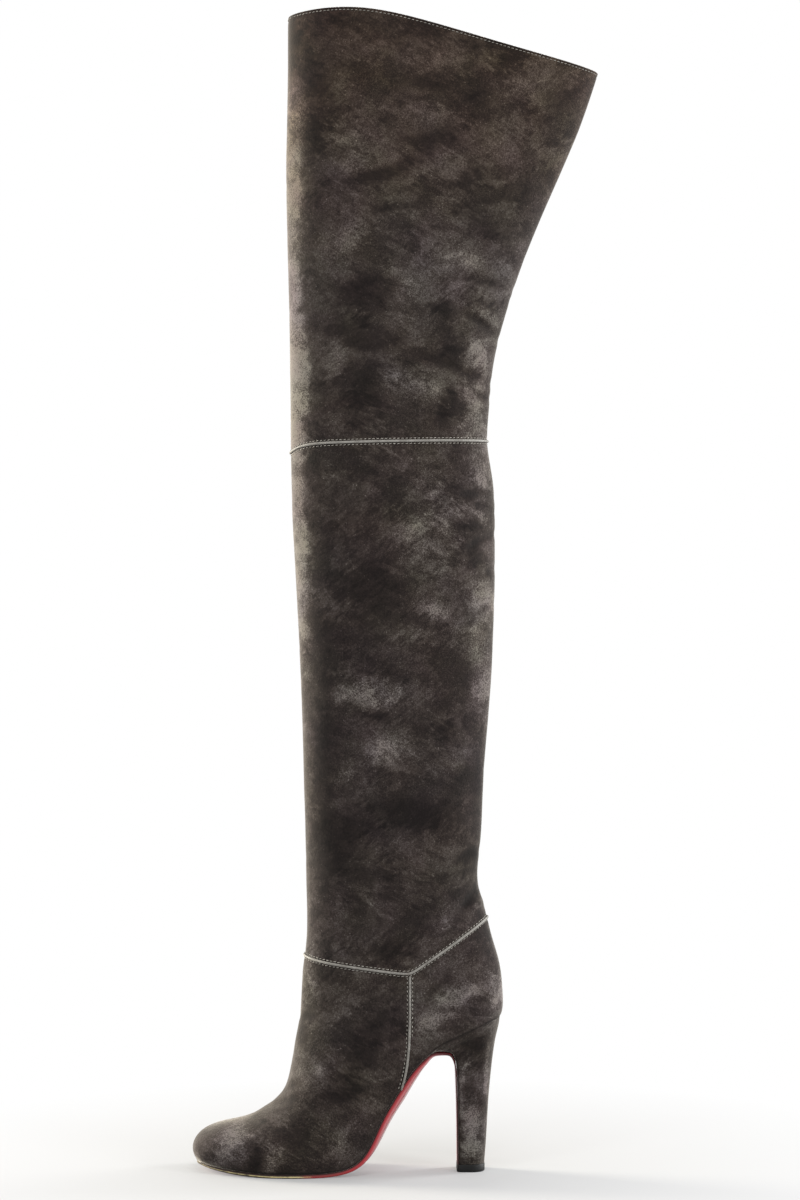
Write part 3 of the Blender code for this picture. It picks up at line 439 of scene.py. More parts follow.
def loop_shares(angle, widest, front_n, back_n):
    """Shares along and across a loop, at angles from 0 at its front to pi at its back."""
    in_front = angle <= math.pi / 2
    power = np.where(in_front, front_n, back_n)
    near = np.abs(np.cos(angle)) ** (2 / power)
    wide = np.abs(np.sin(angle)) ** (2 / power)
    return np.where(in_front, widest * (1 - near), widest + (1 - widest) * near), wide


def surface(s, angle, side):
    """Points of the outer face: sections s, and angles from 0 at the front line to pi at the back line."""
    s, angle, side = np.broadcast_arrays(np.asarray(s, float), angle, side)
    row = section(s)
    along, wide = loop_shares(angle, row["widest"], row["front_n"], row["back_n"])
    feather = np.where(s < HEEL_BACK_KNOT, side * sole_half_width(row["back_x"], side), 0.0)
    end = np.where(angle <= math.pi / 2, row["ridge_y"], feather)
    widest = side * np.where(side < 0, row["half_outer"], row["half_inner"])
    x = row["front_x"] + along * (row["back_x"] - row["front_x"])
    z = row["front_z"] + along * (row["back_z"] - row["front_z"])
    return np.stack((x, end + (widest - end) * wide, z), axis=-1)


def outward(s, angle, side):
    """Unit normals of the outer face."""
    along = surface(s + NORMAL_STEP, angle, side) - surface(s - NORMAL_STEP, angle, side)
    low, high = np.maximum(angle - NORMAL_TURN, 0.0), np.minimum(angle + NORMAL_TURN, math.pi)
    around = surface(s, high, side) - surface(s, low, side)
    return unit(np.cross(along, around) * np.asarray(side)[..., None])


def collar_height(point, angle):
    return COLLAR_AT(point[..., 0])


def knee_height(point, angle):
    dip = KNEE_SEAM_DIP * np.maximum(np.cos(angle), 0.0) ** KNEE_SEAM_DIP_POWER
    return KNEE_SEAM_Z + KNEE_SEAM_SLOPE * point[..., 0] - dip


def ankle_height(point, angle):
    """Two straight lines that meet in the point of the V, slightly rounded there, and the rise in front."""
    rise = ANKLE_FRONT_RISE * np.maximum(np.cos(angle), 0.0) ** ANKLE_FRONT_RISE_POWER
    from_point = point[..., 0] - ANKLE_POINT_X
    front, back = (
        ANKLE_POINT_Z + (end_z - ANKLE_POINT_Z) / (end_x - ANKLE_POINT_X) * from_point
        for end_x, end_z in (ANKLE_FRONT, ANKLE_BACK)
    )
    return (front + back) / 2 + np.hypot((front - back) / 2, ANKLE_POINT_SOFTNESS) + rise


def find_section(first, count, is_before):
    """The sections, from the first one up, where a test of many points stops being true."""
    lower, upper = np.full(count, first), np.full(count, KNOTS[-1])
    for _ in range(SEAM_STEPS):
        middle = (lower + upper) / 2
        before = is_before(middle)
        lower, upper = np.where(before, middle, lower), np.where(before, upper, middle)
    return (lower + upper) / 2


def seam_section(height_at, offset, angle, side):
    """The sections where the surface at these angles meets a seam, moved up or down by an offset."""
    def is_before(s):
        point = surface(s, angle, side)
        return point[:, 2] < height_at(point, angle) + offset

    return find_section(COUNTER_KNOT, len(angle), is_before)


def on_surface(x, z):
    """The sections and angles whose points, seen from the side, are at x and z."""
    def is_before(s):
        front_x, front_z, back_x, back_z = SECTION_AT(s)[:, :4].T
        return (back_x - front_x) * (z - front_z) > (back_z - front_z) * (x - front_x)

    s = find_section(0.0, len(x), is_before)
    row = section(s)
    along = np.clip((x - row["front_x"]) / (row["back_x"] - row["front_x"]), 0.0, 1.0)
    front_near = np.clip(1 - along / row["widest"], 0.0, 1.0) ** (row["front_n"] / 2)
    back_near = np.clip((along - row["widest"]) / (1 - row["widest"]), 0.0, 1.0) ** (row["back_n"] / 2)
    return s, np.where(along < row["widest"], np.arccos(front_near), math.pi - np.arccos(back_near))


def feather_line(s):
    """x and z of the feather line at sections s."""
    return SECTION_AT(s)[..., 2:4]


def feather_height(x):
    line = feather_line(np.linspace(0.0, HEEL_BACK_KNOT, FOOT_ROWS))
    return np.interp(x, *line.T)


def noise(points, scale, shift=0.0):
    """Smooth noise from -1 to 1, with bumps about as wide as the scale."""
    place = points / scale + shift
    cell = np.floor(place).astype(int)
    share = between(place - cell, 0.0, 1.0)
    total = np.zeros(len(points))
    for corner in itertools.product((0, 1), repeat=3):
        weight = np.prod(np.where(corner, share, 1 - share), axis=1)
        i, j, k = ((cell + corner) % LATTICE_SIZE).T
        total += weight * LATTICE[i, j, k]
    return total


def path_distance(points, path):
    """Distance from each point to a path, and the share of the path's length where it is nearest."""
    run = np.diff(path, axis=0)
    length = np.linalg.norm(run, axis=1)
    from_start = points[:, None, :] - path[:-1]
    share = np.clip(np.einsum("nmk,mk->nm", from_start, run) / length ** 2, 0.0, 1.0)
    apart = np.linalg.norm(from_start - share[..., None] * run, axis=2)
    nearest = apart.argmin(axis=1)
    pick = np.arange(len(points))
    before = np.concatenate([[0.0], np.cumsum(length)])
    along = (before[nearest] + share[pick, nearest] * length[nearest]) / before[-1]
    return apart[pick, nearest], along


def crease_field(points):
    """How far the creases move points of the outer face along their normals."""
    total = np.zeros(len(points))
    for from_edge, depth, half_width, *line in CREASES:
        knots = chord_knots(line)
        x, z = natural_spline(knots, line)(np.linspace(0.0, knots[-1], CREASE_STATIONS)).T
        for side, strength in ((OUTER, 1.0), (INNER, INNER_CREASE_SHARE)):
            path = surface(*on_surface(x, z), side)
            reach = CREASE_REACH * half_width
            near = np.all((points > path.min(axis=0) - reach) & (points < path.max(axis=0) + reach), axis=1)
            if not near.any():
                continue
            apart, along = path_distance(points[near], path)
            start = between(along, 0.0, CREASE_FADE)
            fade = CREASE_AT_EDGE + (1 - CREASE_AT_EDGE) * start if from_edge else start
            fade = fade * between(along, 1.0, 1 - CREASE_FADE)
            share = (apart / half_width) ** 2
            total[near] -= depth * strength * fade * (1 - CREASE_SHOULDER * share) * np.exp(-share)
    return total


def relief(base, edge):
    """Creases, slackness and the pull of the seams, for points at a given distance from seams and edges."""
    points = base.reshape(-1, 3)
    move = crease_field(points)
    on_side = SLACK_AT_EDGE + (1 - SLACK_AT_EDGE) * between(np.abs(points[:, 1]), 0.0, SLACK_SIDE_Y)
    for width, height in SLACK_WAVES:
        move += height * on_side * noise(points, width)
    pull = SEAM_PULL * bell(edge - STITCH_OFFSET, SEAM_PULL_WIDTH)
    return move.reshape(edge.shape) * (1 - bell(edge, CALM_WIDTH)) - pull


def nap_and_painted_light_field(points):
    """Brushed nap with painted light and shade, from about -1 for dark to 1 for light."""
    x, y, z = points.T
    dark = NAP_EDGE_DARK * bell(COLLAR_AT(x) - z, NAP_EDGE_WIDTH)
    # painted shade along the line where the heel's cover meets the upper
    near_seat = (x > 0.0) & (z < SEAT_TOP_Z)
    dark[near_seat] += SEAT_LINE_PAINTED_SHADE * bell(from_seat(points[near_seat]), SEAT_LINE_WIDTH)
    # painted shade along the suede's lower edge, where it meets the sole
    over_sole = np.maximum(z - feather_height(x), 0.0)
    dark += np.where(x < HEEL_TOP_FRONT_X, FOOT_LINE_PAINTED_SHADE * bell(over_sole, FOOT_LINE_WIDTH), 0.0)
    # painted highlight and painted shade along the front and back lines
    painted_bands = painted_edge_light(points, FRONT_PAINTED_LIGHT, "front_x", "front_z")
    painted_bands += painted_edge_light(points, BACK_PAINTED_LIGHT, "back_x", "back_z")
    for width, strength in NAP_WARPS:
        x = x + strength * noise(points, width, WARP_X_SHIFT)
        z = z + strength * noise(points, width, WARP_Z_SHIFT)
    sides = []
    for shift in (0.0, NAP_INNER_SHIFT):
        total = np.zeros(len(points))
        # brushed marks, some of them painted shade and painted highlight
        for mark_x, mark_z, half_length, half_width, tilt, strength in NAP_MARKS_AND_PAINTED_LIGHT:
            cosine, sine = math.cos(math.radians(tilt)), math.sin(math.radians(tilt))
            dx, dz = x - mark_x, z + shift - mark_z
            along = (dx * cosine + dz * sine) / half_length
            across = (dz * cosine - dx * sine) / half_width
            total += strength * np.exp(-((along * along + across * across) ** NAP_CRISPNESS))
        sides.append(total)
    to_inner = between(y, -NAP_BLEND, NAP_BLEND)
    marks = sides[0] * (1 - to_inner) + sides[1] * to_inner
    # creases add painted shade in their troughs and painted highlight on their ridges
    return marks + painted_bands + CREASE_PAINTED_SHADE * crease_field(points) - dark


def painted_edge_light(points, table, line_x, line_z):
    """Painted highlight, partly pale nap, along the leg's front or back line, with painted shade inside it.
    """
    line = section(np.linspace(COUNTER_KNOT, KNOTS[-1], LEG_ROWS))
    x, y, z = points.T
    inside = np.abs(x - np.interp(z, line[line_z], line[line_x]))
    for width, strength in BAND_WAVES:
        inside = inside + strength * noise(points, width, BAND_SHIFT)
    heights, *columns = zip(*table)
    width, light, shade = (np.interp(z, heights, column) for column in columns)
    band = light * (1 - between(inside, width - BAND_SOFT / 2, width + BAND_SOFT / 2))
    band -= shade * bell(inside - width - BAND_SHADE_IN, BAND_SHADE_HALF)
    outer = 1 - between(y, BAND_INNER_FROM, BAND_INNER_TO)
    band *= BAND_INNER_SHARE + (1 - BAND_INNER_SHARE) * outer
    return band * between(z, BAND_FOOT_Z, BAND_FOOT_Z + BAND_FADE)


def from_seat(points):
    """Distance from the line where the heel's cover meets the upper."""
    return np.minimum(*(path_distance(points, seat_path(side)[::SEAT_LINE_STEP])[0] for side in SIDES))


def set_attribute(mesh, name, values):
    attribute = mesh.attributes.new(name, "FLOAT", "POINT")
    attribute.data.foreach_set("value", values.astype(np.float32))


def add_piece(name, points, faces, material, slot, node=None, lining=None):
    """A piece of the boot from points in millimetres, welded, with its faces pointing out.

    The lining is a second material and what marks the faces that have it.
    """
    mesh = bpy.data.meshes.new(name)
    mesh.from_pydata((points * MM).tolist(), [], faces)
    mesh.materials.append(material)
    if lining:
        mesh.materials.append(lining[0])
        mesh.polygons.foreach_set("material_index", lining[1])
    work = bmesh.new()
    work.from_mesh(mesh)
    bmesh.ops.remove_doubles(work, verts=work.verts, dist=WELD)
    bmesh.ops.recalc_face_normals(work, faces=work.faces)
    loose = [vertex for vertex in work.verts if not vertex.link_faces]
    bmesh.ops.delete(work, geom=loose, context="VERTS")
    work.to_mesh(mesh)
    work.free()
    mesh.shade_smooth()
    mesh.set_sharp_from_angle(angle=math.radians(SHARP_ANGLE))
    piece = bpy.data.objects.new(name, mesh)
    bpy.context.scene.collection.objects.link(piece)
    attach(piece, "root")
    if node:
        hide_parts(node)
    return mesh


def add_suede(name, node, points, faces, material, lining=None):
    """A piece of suede, with the marks of its nap and its painted light and shade."""
    mesh = add_piece(name, points, faces, material, "suede", node, lining)
    found = np.zeros(len(mesh.vertices) * 3, np.float32)
    mesh.vertices.foreach_get("co", found)
    # the nap attribute holds brushed nap together with painted highlight and painted shade
    set_attribute(mesh, "nap", nap_and_painted_light_field(found.reshape(-1, 3).astype(float) / MM))


def grid_faces(index, wrap_rows=False, wrap_columns=False):
    """Four-sided faces between the rows and columns of a grid of point numbers."""
    if wrap_rows:
        index = np.concatenate([index, index[:1]])
    if wrap_columns:
        index = np.concatenate([index, index[:, :1]], axis=1)
    faces = np.stack((index[1:, :-1], index[1:, 1:], index[:-1, 1:], index[:-1, :-1]), axis=-1)
    return faces.reshape(-1, 4)


def numbered(rings):
    """Point numbers for a grid of rings."""
    return np.arange(rings.shape[0] * rings.shape[1]).reshape(rings.shape[:2])


def loft(rings, closed=False):
    """Points and faces of a closed solid through rings. A closed loft is a hoop; others get caps."""
    index = numbered(rings)
    size = len(index[0])
    faces = grid_faces(index, closed, True).tolist()
    if not closed:
        for ring in (index[0], index[-1]):
            faces.append((ring[0], ring[1], ring[-1]))
            for j in range(1, size // 2):
                corners = (ring[j], ring[j + 1], ring[size - j - 1], ring[size - j])
                faces.append(tuple(dict.fromkeys(int(c) for c in corners)))
    return rings.reshape(-1, 3), faces


def round_columns(count, whole_loop):
    """Angles and sides from the back line, up the outer side to the front line, and down the inner side."""
    outer = np.linspace(math.pi, 0.0, count + 1)
    inner = np.linspace(0.0, math.pi, count + 1)[1:]
    if whole_loop:
        inner = inner[:-1]
    side = np.concatenate([np.full(len(outer), OUTER), np.full(len(inner), INNER)])
    return np.concatenate([outer, inner]), side


def wall_faces(base, normal, move):
    """Points of a wall's outer and inner faces, where the outer one is moved by creases."""
    return base + normal * move[..., None], base + normal * (np.minimum(move, 0.0) - WALL)[..., None]


def build_tube(name, node, lower, upper, rows, has_collar, material, lining):
    """A lined length of the shaft between two seams, with a rounded fold if it has the collar."""
    angle, side = round_columns(SIDE_COLUMNS, True)
    low, high = seam_section(*lower, angle, side), seam_section(*upper, angle, side)
    s = low + (high - low) * np.linspace(0.0, 1.0, rows + 1)[:, None]
    angle, side = np.broadcast_to(angle, s.shape), np.broadcast_to(side, s.shape)
    base = surface(s, angle, side)
    edge = np.minimum(*(np.linalg.norm(base - base[row], axis=-1) for row in (0, -1)))
    outside, inside = wall_faces(base, outward(s, angle, side), relief(base, edge))
    inside = inside[::-1]
    rim = []
    if has_collar:
        middle, half = (outside[-1] + inside[0]) / 2, (outside[-1] - inside[0]) / 2
        for step in range(1, RIM_STEPS + 1):
            turn = math.pi * step / (RIM_STEPS + 1)
            rim.append(middle + half * math.cos(turn) + np.array((0.0, 0.0, RIM_RISE * math.sin(turn))))
    rings = np.concatenate([outside, np.array(rim).reshape(-1, *outside.shape[1:]), inside])
    index = numbered(rings)
    is_lining = np.zeros(index.shape, np.int32)
    is_lining[(FOLD_ROWS if has_collar else 0) - rows - 1:] = 1
    is_lining[-1] = 0
    faces = grid_faces(index, True, True).tolist()
    add_suede(name, node, rings.reshape(-1, 3), faces, material, (lining, is_lining.ravel()))


def side_seam(side, offset=0.0, foot_z=SIDE_SEAM_FOOT_Z, stations=SIDE_SEAM_STATIONS):
    """Sections and angles down the side seam, from the ankle seam to the sole."""
    z = np.linspace(ANKLE_POINT_Z - SIDE_SEAM_TOP_CLEARANCE, foot_z, stations)
    swing = ((ANKLE_POINT_Z - z) / (ANKLE_POINT_Z - SIDE_SEAM_FOOT_Z)) ** SIDE_SEAM_POWER
    s, angle = on_surface(ANKLE_POINT_X - SIDE_SEAM_SWING * swing + offset, z)
    return s, angle, np.full(stations, side)


def build_upper(material, lining):
    """The foot: one wall from the toe to the ankle seam, open underneath along the feather line."""
    angle, side = round_columns(SIDE_COLUMNS, False)
    top = seam_section(ankle_height, -GAP / 2, angle, side)
    foot = np.linspace(0.0, HEEL_BACK_KNOT, FOOT_ROWS + 1)[:, None] + np.zeros(len(angle))
    rise = np.linspace(0.0, 1.0, ANKLE_ROWS + 1)[1:, None]
    s = np.concatenate([foot, HEEL_BACK_KNOT + (top - HEEL_BACK_KNOT) * rise])
    angle, side = np.broadcast_to(angle, s.shape), np.broadcast_to(side, s.shape)
    base = surface(s, angle, side)

    def distance(path):
        return path_distance(base.reshape(-1, 3), path)[0].reshape(s.shape)

    feather = np.where(side[..., None] < 0, base[:, :1], base[:, -1:])
    calm = np.linalg.norm(base - feather, axis=-1)
    calm[FOOT_ROWS + 1:] = np.inf
    edge = np.minimum(np.linalg.norm(base - base[-1], axis=-1), calm + STITCH_OFFSET + CALM_WIDTH / 2)
    for seam_side in SIDES:
        edge = np.minimum(edge, distance(surface(*side_seam(seam_side, stations=CREASE_STATIONS))))
        calm = np.minimum(calm, distance(seat_path(seam_side)[::SEAT_LINE_STEP]))
    move = relief(base, edge) * (1 - bell(calm, CALM_WIDTH))
    points = np.concatenate([face.reshape(-1, 3) for face in wall_faces(base, outward(s, angle, side), move)])
    outside = numbered(base)
    inside = outside + s.size
    under = slice(0, FOOT_ROWS + 1)
    rims = [np.stack([outside[rim], inside[rim]]) for rim in (0, -1, (under, 0), (under, -1))]
    faces = [grid_faces(grid) for grid in (outside, *rims, inside)]
    is_lining = np.concatenate([np.full(len(group), group is faces[-1], np.int32) for group in faces])
    add_suede("upper_suede", "upper", points, np.concatenate(faces).tolist(), material, (lining, is_lining))


def heel_loop():
    """Shares along and across a heel ring, from the middle of its front round the outer side."""
    along, wide = loop_shares(np.linspace(0.0, math.pi, 2 * HEEL_SIDE_COLUMNS + 1), HEEL_WIDEST, *HEEL_POWERS)
    wide[[0, -1]] = 0.0
    return np.concatenate([along, along[-2:0:-1]]), np.concatenate([-wide, wide[-2:0:-1]])


def seat_path(side):
    """Where the heel's cover meets one side of the upper, from the arch to the middle of the back."""
    s = np.linspace(KNOT_OF["arch high"], HEEL_BACK_KNOT, HEEL_ROWS)
    cover = SEAT_COVER * between(feather_line(s)[:, 0], COVER_FRONT_X, COVER_FRONT_X + COVER_RUN)
    along_side = surface(s, math.pi - cover, side)
    round_back = surface(HEEL_BACK_KNOT, np.linspace(math.pi - SEAT_COVER, math.pi, HEEL_SIDE_COLUMNS), side)
    return np.concatenate([along_side, round_back[1:]])


def build_heel(material):
    """The heel and its cover, through rings from its tip to the seat, smoothed between those of the table."""
    along, wide = heel_loop()
    rings = []
    for front_x, front_z, back_x, back_z, half in (*HEEL, COVER_RING):
        x, z = front_x + (back_x - front_x) * along, front_z + (back_z - front_z) * along
        rings.append(np.stack((x, half * wide, z), axis=-1))
    x = COVER_FRONT_X + (HEEL_BACK_X - COVER_FRONT_X) * along
    corner = np.where(along < HEEL_WIDEST, np.abs(wide), 1.0) * (1 - COVER_SINK / SEAT_HALF)
    outer, inner = (seat_path(side) for side in SIDES)
    y, z = (
        np.where(wide < 0, np.interp(x, outer[:, 0], outer[:, k]), np.interp(x, inner[:, 0], inner[:, k]))
        for k in (1, 2)
    )
    rings.append(np.stack((x - COVER_SINK * along, y * corner, z), axis=-1))
    knots = chord_knots(rings)
    rings = natural_spline(knots, rings)(np.linspace(0.0, knots[-1], HEEL_ROWS + 1))
    add_suede("heel_suede", "heel", *loft(rings), material)


def waist_share(x):
    return 1 - between(np.abs(x - SWELL_X), 0.0, SWELL_RUN)


def sole_stations():
    """x, z, outer and inner half width and thickness along the sole, from the toe to the heel's tip."""
    first_x, first_z = feather_line(0.0)
    tip_rise = (SECTION_AT(0.0)[1] - first_z) / (first_x - TOE_TIP_X)
    lead = TOE_TIP_X + (first_x - TOE_TIP_X) * np.linspace(SOLE_TIP_START, 1.0, SOLE_TIP_STATIONS) ** 2
    front = np.stack((lead, first_z + tip_rise * (first_x - lead)), axis=-1)[:-1]
    foot = feather_line(np.linspace(0.0, HEEL_BACK_KNOT, SOLE_FOOT_STATIONS))
    x, z = np.concatenate([front, foot[foot[:, 0] < HEEL_TOP_FRONT_X - SOLE_LIP_RUN]]).T
    outer, inner = (sole_half_width(x, side) + SOLE_OVERHANG for side in SIDES)
    thinned = 1 - TOE_THINNING * between(x, TOE_THIN_FROM, TOE_TIP_X)
    depth = SOLE_THICKNESS * thinned + WAIST_SWELL * waist_share(x)
    stations = np.stack((x, z, outer, inner, depth), axis=-1)
    lip = np.array(HEEL_TOP_FRONT_X)
    lip_halves = (sole_half_width(lip, side) for side in SIDES)
    turn = [stations[-SOLE_TURN], stations[-1], (lip, feather_height(lip) - GAP, *lip_halves, LIP_THICKNESS)]
    for (front_x, front_z, _, _, half), thickness in zip(reversed(HEEL), reversed(BREAST_THICKNESS)):
        turn.append((front_x, front_z, half, half, thickness))
    turn = np.array(turn, float)
    knots = chord_knots(turn[:, :2])
    breast = natural_spline(knots, turn)(np.linspace(knots[1], knots[-1], SOLE_BREAST_STATIONS)[1:])
    return np.concatenate([stations, breast])


def sole_section(x, outer, inner, thickness):
    """y and depth round a section of the sole: its lower face with rounded edges, then its top."""
    radius = min(SOLE_EDGE_RADIUS + WAIST_ROUNDING * waist_share(x), EDGE_RADIUS_SHARE * thickness)
    upright = (thickness - radius) * np.arange(1, SOLE_EDGE_STEPS) / SOLE_EDGE_STEPS
    turn = np.linspace(0.0, math.pi / 2, SOLE_EDGE_STEPS + 1)
    inset = np.concatenate([0.0 * upright, radius * (1 - np.cos(turn))])
    edge = np.concatenate([upright, thickness - radius * (1 - np.sin(turn))])
    bottom = np.linspace(-outer + radius, inner - radius, SOLE_ACROSS + 1)[1:-1]
    y = np.concatenate([inset - outer, bottom, inner - inset[::-1]])
    depth = np.concatenate([edge, np.full(len(bottom), thickness), edge[::-1]])
    camber = np.interp(x, *zip(*SOLE_CAMBER)) * thickness / SOLE_THICKNESS
    middle, half = (inner - outer) / 2, (inner + outer) / 2
    depth = depth + camber * depth / thickness * (1 - ((y - middle) / half) ** 2)
    top = np.linspace(inner, -outer, SOLE_ACROSS + 1)
    return np.concatenate([y, top]), np.concatenate([depth, np.zeros(len(top))])


def sole_shades(x, from_side, depth, thickness):
    """The six shades at points of a section, from their distances to its side and its top."""
    on_edge = between(from_side, EDGE_WEAR_REACH, 0.0)
    at_arch = between(x, ARCH_DARK_FROM, ARCH_DARK_TO)
    # painted reflection along the lower edge of the waist
    painted_reflection_strength = between(x, PALE_FROM, PALE_TO) * (PALE_WAIST + (1 - PALE_WAIST) * at_arch)
    beside_heel = between(x, HEEL_TOP_FRONT_X, HEEL_TOP_FRONT_X + BREAST_DARK_RUN)
    # painted shade against the upper; down the heel's breast the whole edge is darker
    dark = np.maximum(bell(depth, EDGE_DARK_DEPTH + ARCH_DARK_DEPTH * at_arch), beside_heel)
    bare_line = bell(depth / thickness - GOLD_EDGE_PLACE, GOLD_EDGE_WIDTH)
    palest = GOLD_EDGE_LEAST + (1 - GOLD_EDGE_LEAST) * bell(x - GOLD_EDGE_X, GOLD_EDGE_HALF)
    return np.stack((
        on_edge * between(x, WORN_EDGE_TO, WORN_EDGE_FROM),
        on_edge * bare_line * palest * between(x, GOLD_EDGE_TO, GOLD_EDGE_FROM),
        between(x, TREAD_FROM, TREAD_TO) * between(from_side, TREAD_INSET, TREAD_INSET + TREAD_SOFT),
        on_edge * between(x, DULL_FROM, DULL_TO),
        on_edge * painted_reflection_strength * between(depth / thickness, PALE_DEPTH, 1.0),
        on_edge * dark,
    ), axis=-1)


def build_outsole(material):
    """Sole leather under the feather line, then thinner, round the arch and down the heel's breast."""
    stations = sole_stations()
    tangent = unit(np.gradient(stations[:, :2], axis=0))
    rings, shades = [], []
    for (x, z, outer, inner, thickness), (along, rise) in zip(stations, tangent):
        y, depth = sole_section(x, outer, inner, thickness)
        down = GAP + depth
        rings.append(np.stack((x + rise * down, y, np.maximum(z - along * down, 0.0)), axis=-1))
        shades.append(sole_shades(x, np.minimum(y + outer, inner - y), depth, thickness))
    rings = np.array(rings)
    index = numbered(rings)
    faces = grid_faces(index, False, True).tolist() + [index[0].tolist(), index[-1].tolist()]
    mesh = add_piece("outsole_leather", rings.reshape(-1, 3), faces, material, "sole_leather", "outsole")
    for name, values in zip(SOLE_SHADES, np.concatenate(shades).T):
        set_attribute(mesh, name, values)


def build_top_lift(material):
    """Rubber tip under the heel, with softened edges."""
    along, wide = heel_loop()
    middle, length = (LIFT_FRONT_X + LIFT_BACK_X) / 2, LIFT_BACK_X - LIFT_FRONT_X
    profile = (
        (0.0, LIFT_EDGE), (LIFT_EDGE / 3, LIFT_EDGE / 4), (LIFT_EDGE, 0.0),
        (LIFT_HEIGHT - LIFT_EDGE, 0.0), (LIFT_HEIGHT, LIFT_EDGE / 2),
    )
    rings = []
    for z, inset in profile:
        x = middle + (along - 0.5) * (length - 2 * inset)
        rings.append(np.stack((x, (LIFT_HALF - inset) * wide, np.full(len(x), z)), axis=-1))
    add_piece("top_lift_rubber", *loft(np.array(rings)), material, "lift_rubber", "top_lift")


def hoop(height_at, offset=0.0):
    """Sections, angles and sides all round the leg along a seam."""
    angle, side = round_columns(HOOP_STATIONS // 2, True)
    return seam_section(height_at, offset, angle, side), angle, side


def circle(count):
    """Cosines and sines of evenly spaced turns."""
    turn = np.linspace(0.0, 2 * math.pi, count + 1)[:-1]
    return np.cos(turn), np.sin(turn)


def build_piping(name, node, stations, closed, material):
    """Cord of pale leather along a seam, half sunk between the two edges."""
    points, normal = surface(*stations), outward(*stations)
    if closed:
        run = np.roll(points, -1, axis=0) - np.roll(points, 1, axis=0)
    else:
        run = np.gradient(points, axis=0)
    across = unit(np.cross(normal, run))
    cosine, sine = circle(PIPING_SIDES)
    centre = points + normal * PIPING_CENTRE
    wide = across[:, None, :] * (PIPING_HALF_WIDTH * cosine)[:, None]
    high = normal[:, None, :] * (PIPING_HALF_HEIGHT * sine)[:, None]
    add_piece(name, *loft(centre[:, None, :] + wide + high, closed), material, "piping_leather", node)


def build_stitches(name, rows, closed, material):
    """Rows of short slanted stitches. Each row is its stations on the surface, and a closed one is a hoop."""
    reach, thick = np.array(STITCH_PROFILE).T
    rise = STITCH_ARCH * (1 - reach * reach) - SEAM_PULL
    cosine, sine = circle(STITCH_SIDES)
    all_points, all_faces = [], []
    for stations in rows:
        path, normals = surface(*stations), outward(*stations)
        if closed:
            path, normals = np.concatenate([path, path[:1]]), np.concatenate([normals, normals[:1]])
        knots = chord_knots(path)
        count = int(knots[-1] / STITCH_PITCH)
        places = (np.arange(count) + 0.5) * knots[-1] / count

        def read(values, ahead=0.0):
            return np.stack([np.interp(places + ahead, knots, column) for column in values.T], axis=-1)

        centre, normal = read(path), unit(read(normals))
        run = unit(read(path, STITCH_SIGHT) - read(path, -STITCH_SIGHT))
        run = run * math.cos(STITCH_SLANT) + unit(np.cross(normal, run)) * math.sin(STITCH_SLANT)
        across = unit(np.cross(normal, run))
        for k in range(count):
            spine = centre[k] + np.outer(reach * STITCH_HALF_LENGTH, run[k]) + np.outer(rise, normal[k])
            ring = np.outer(cosine, across[k]) + np.outer(sine, normal[k])
            points, faces = loft(spine[:, None, :] + ring * (STITCH_RADIUS * thick)[:, None, None])
            first = len(all_points) * len(points)
            all_points.append(points)
            all_faces += [tuple(first + corner for corner in face) for face in faces]
    add_piece(name, np.concatenate(all_points), all_faces, material, "piping_leather")


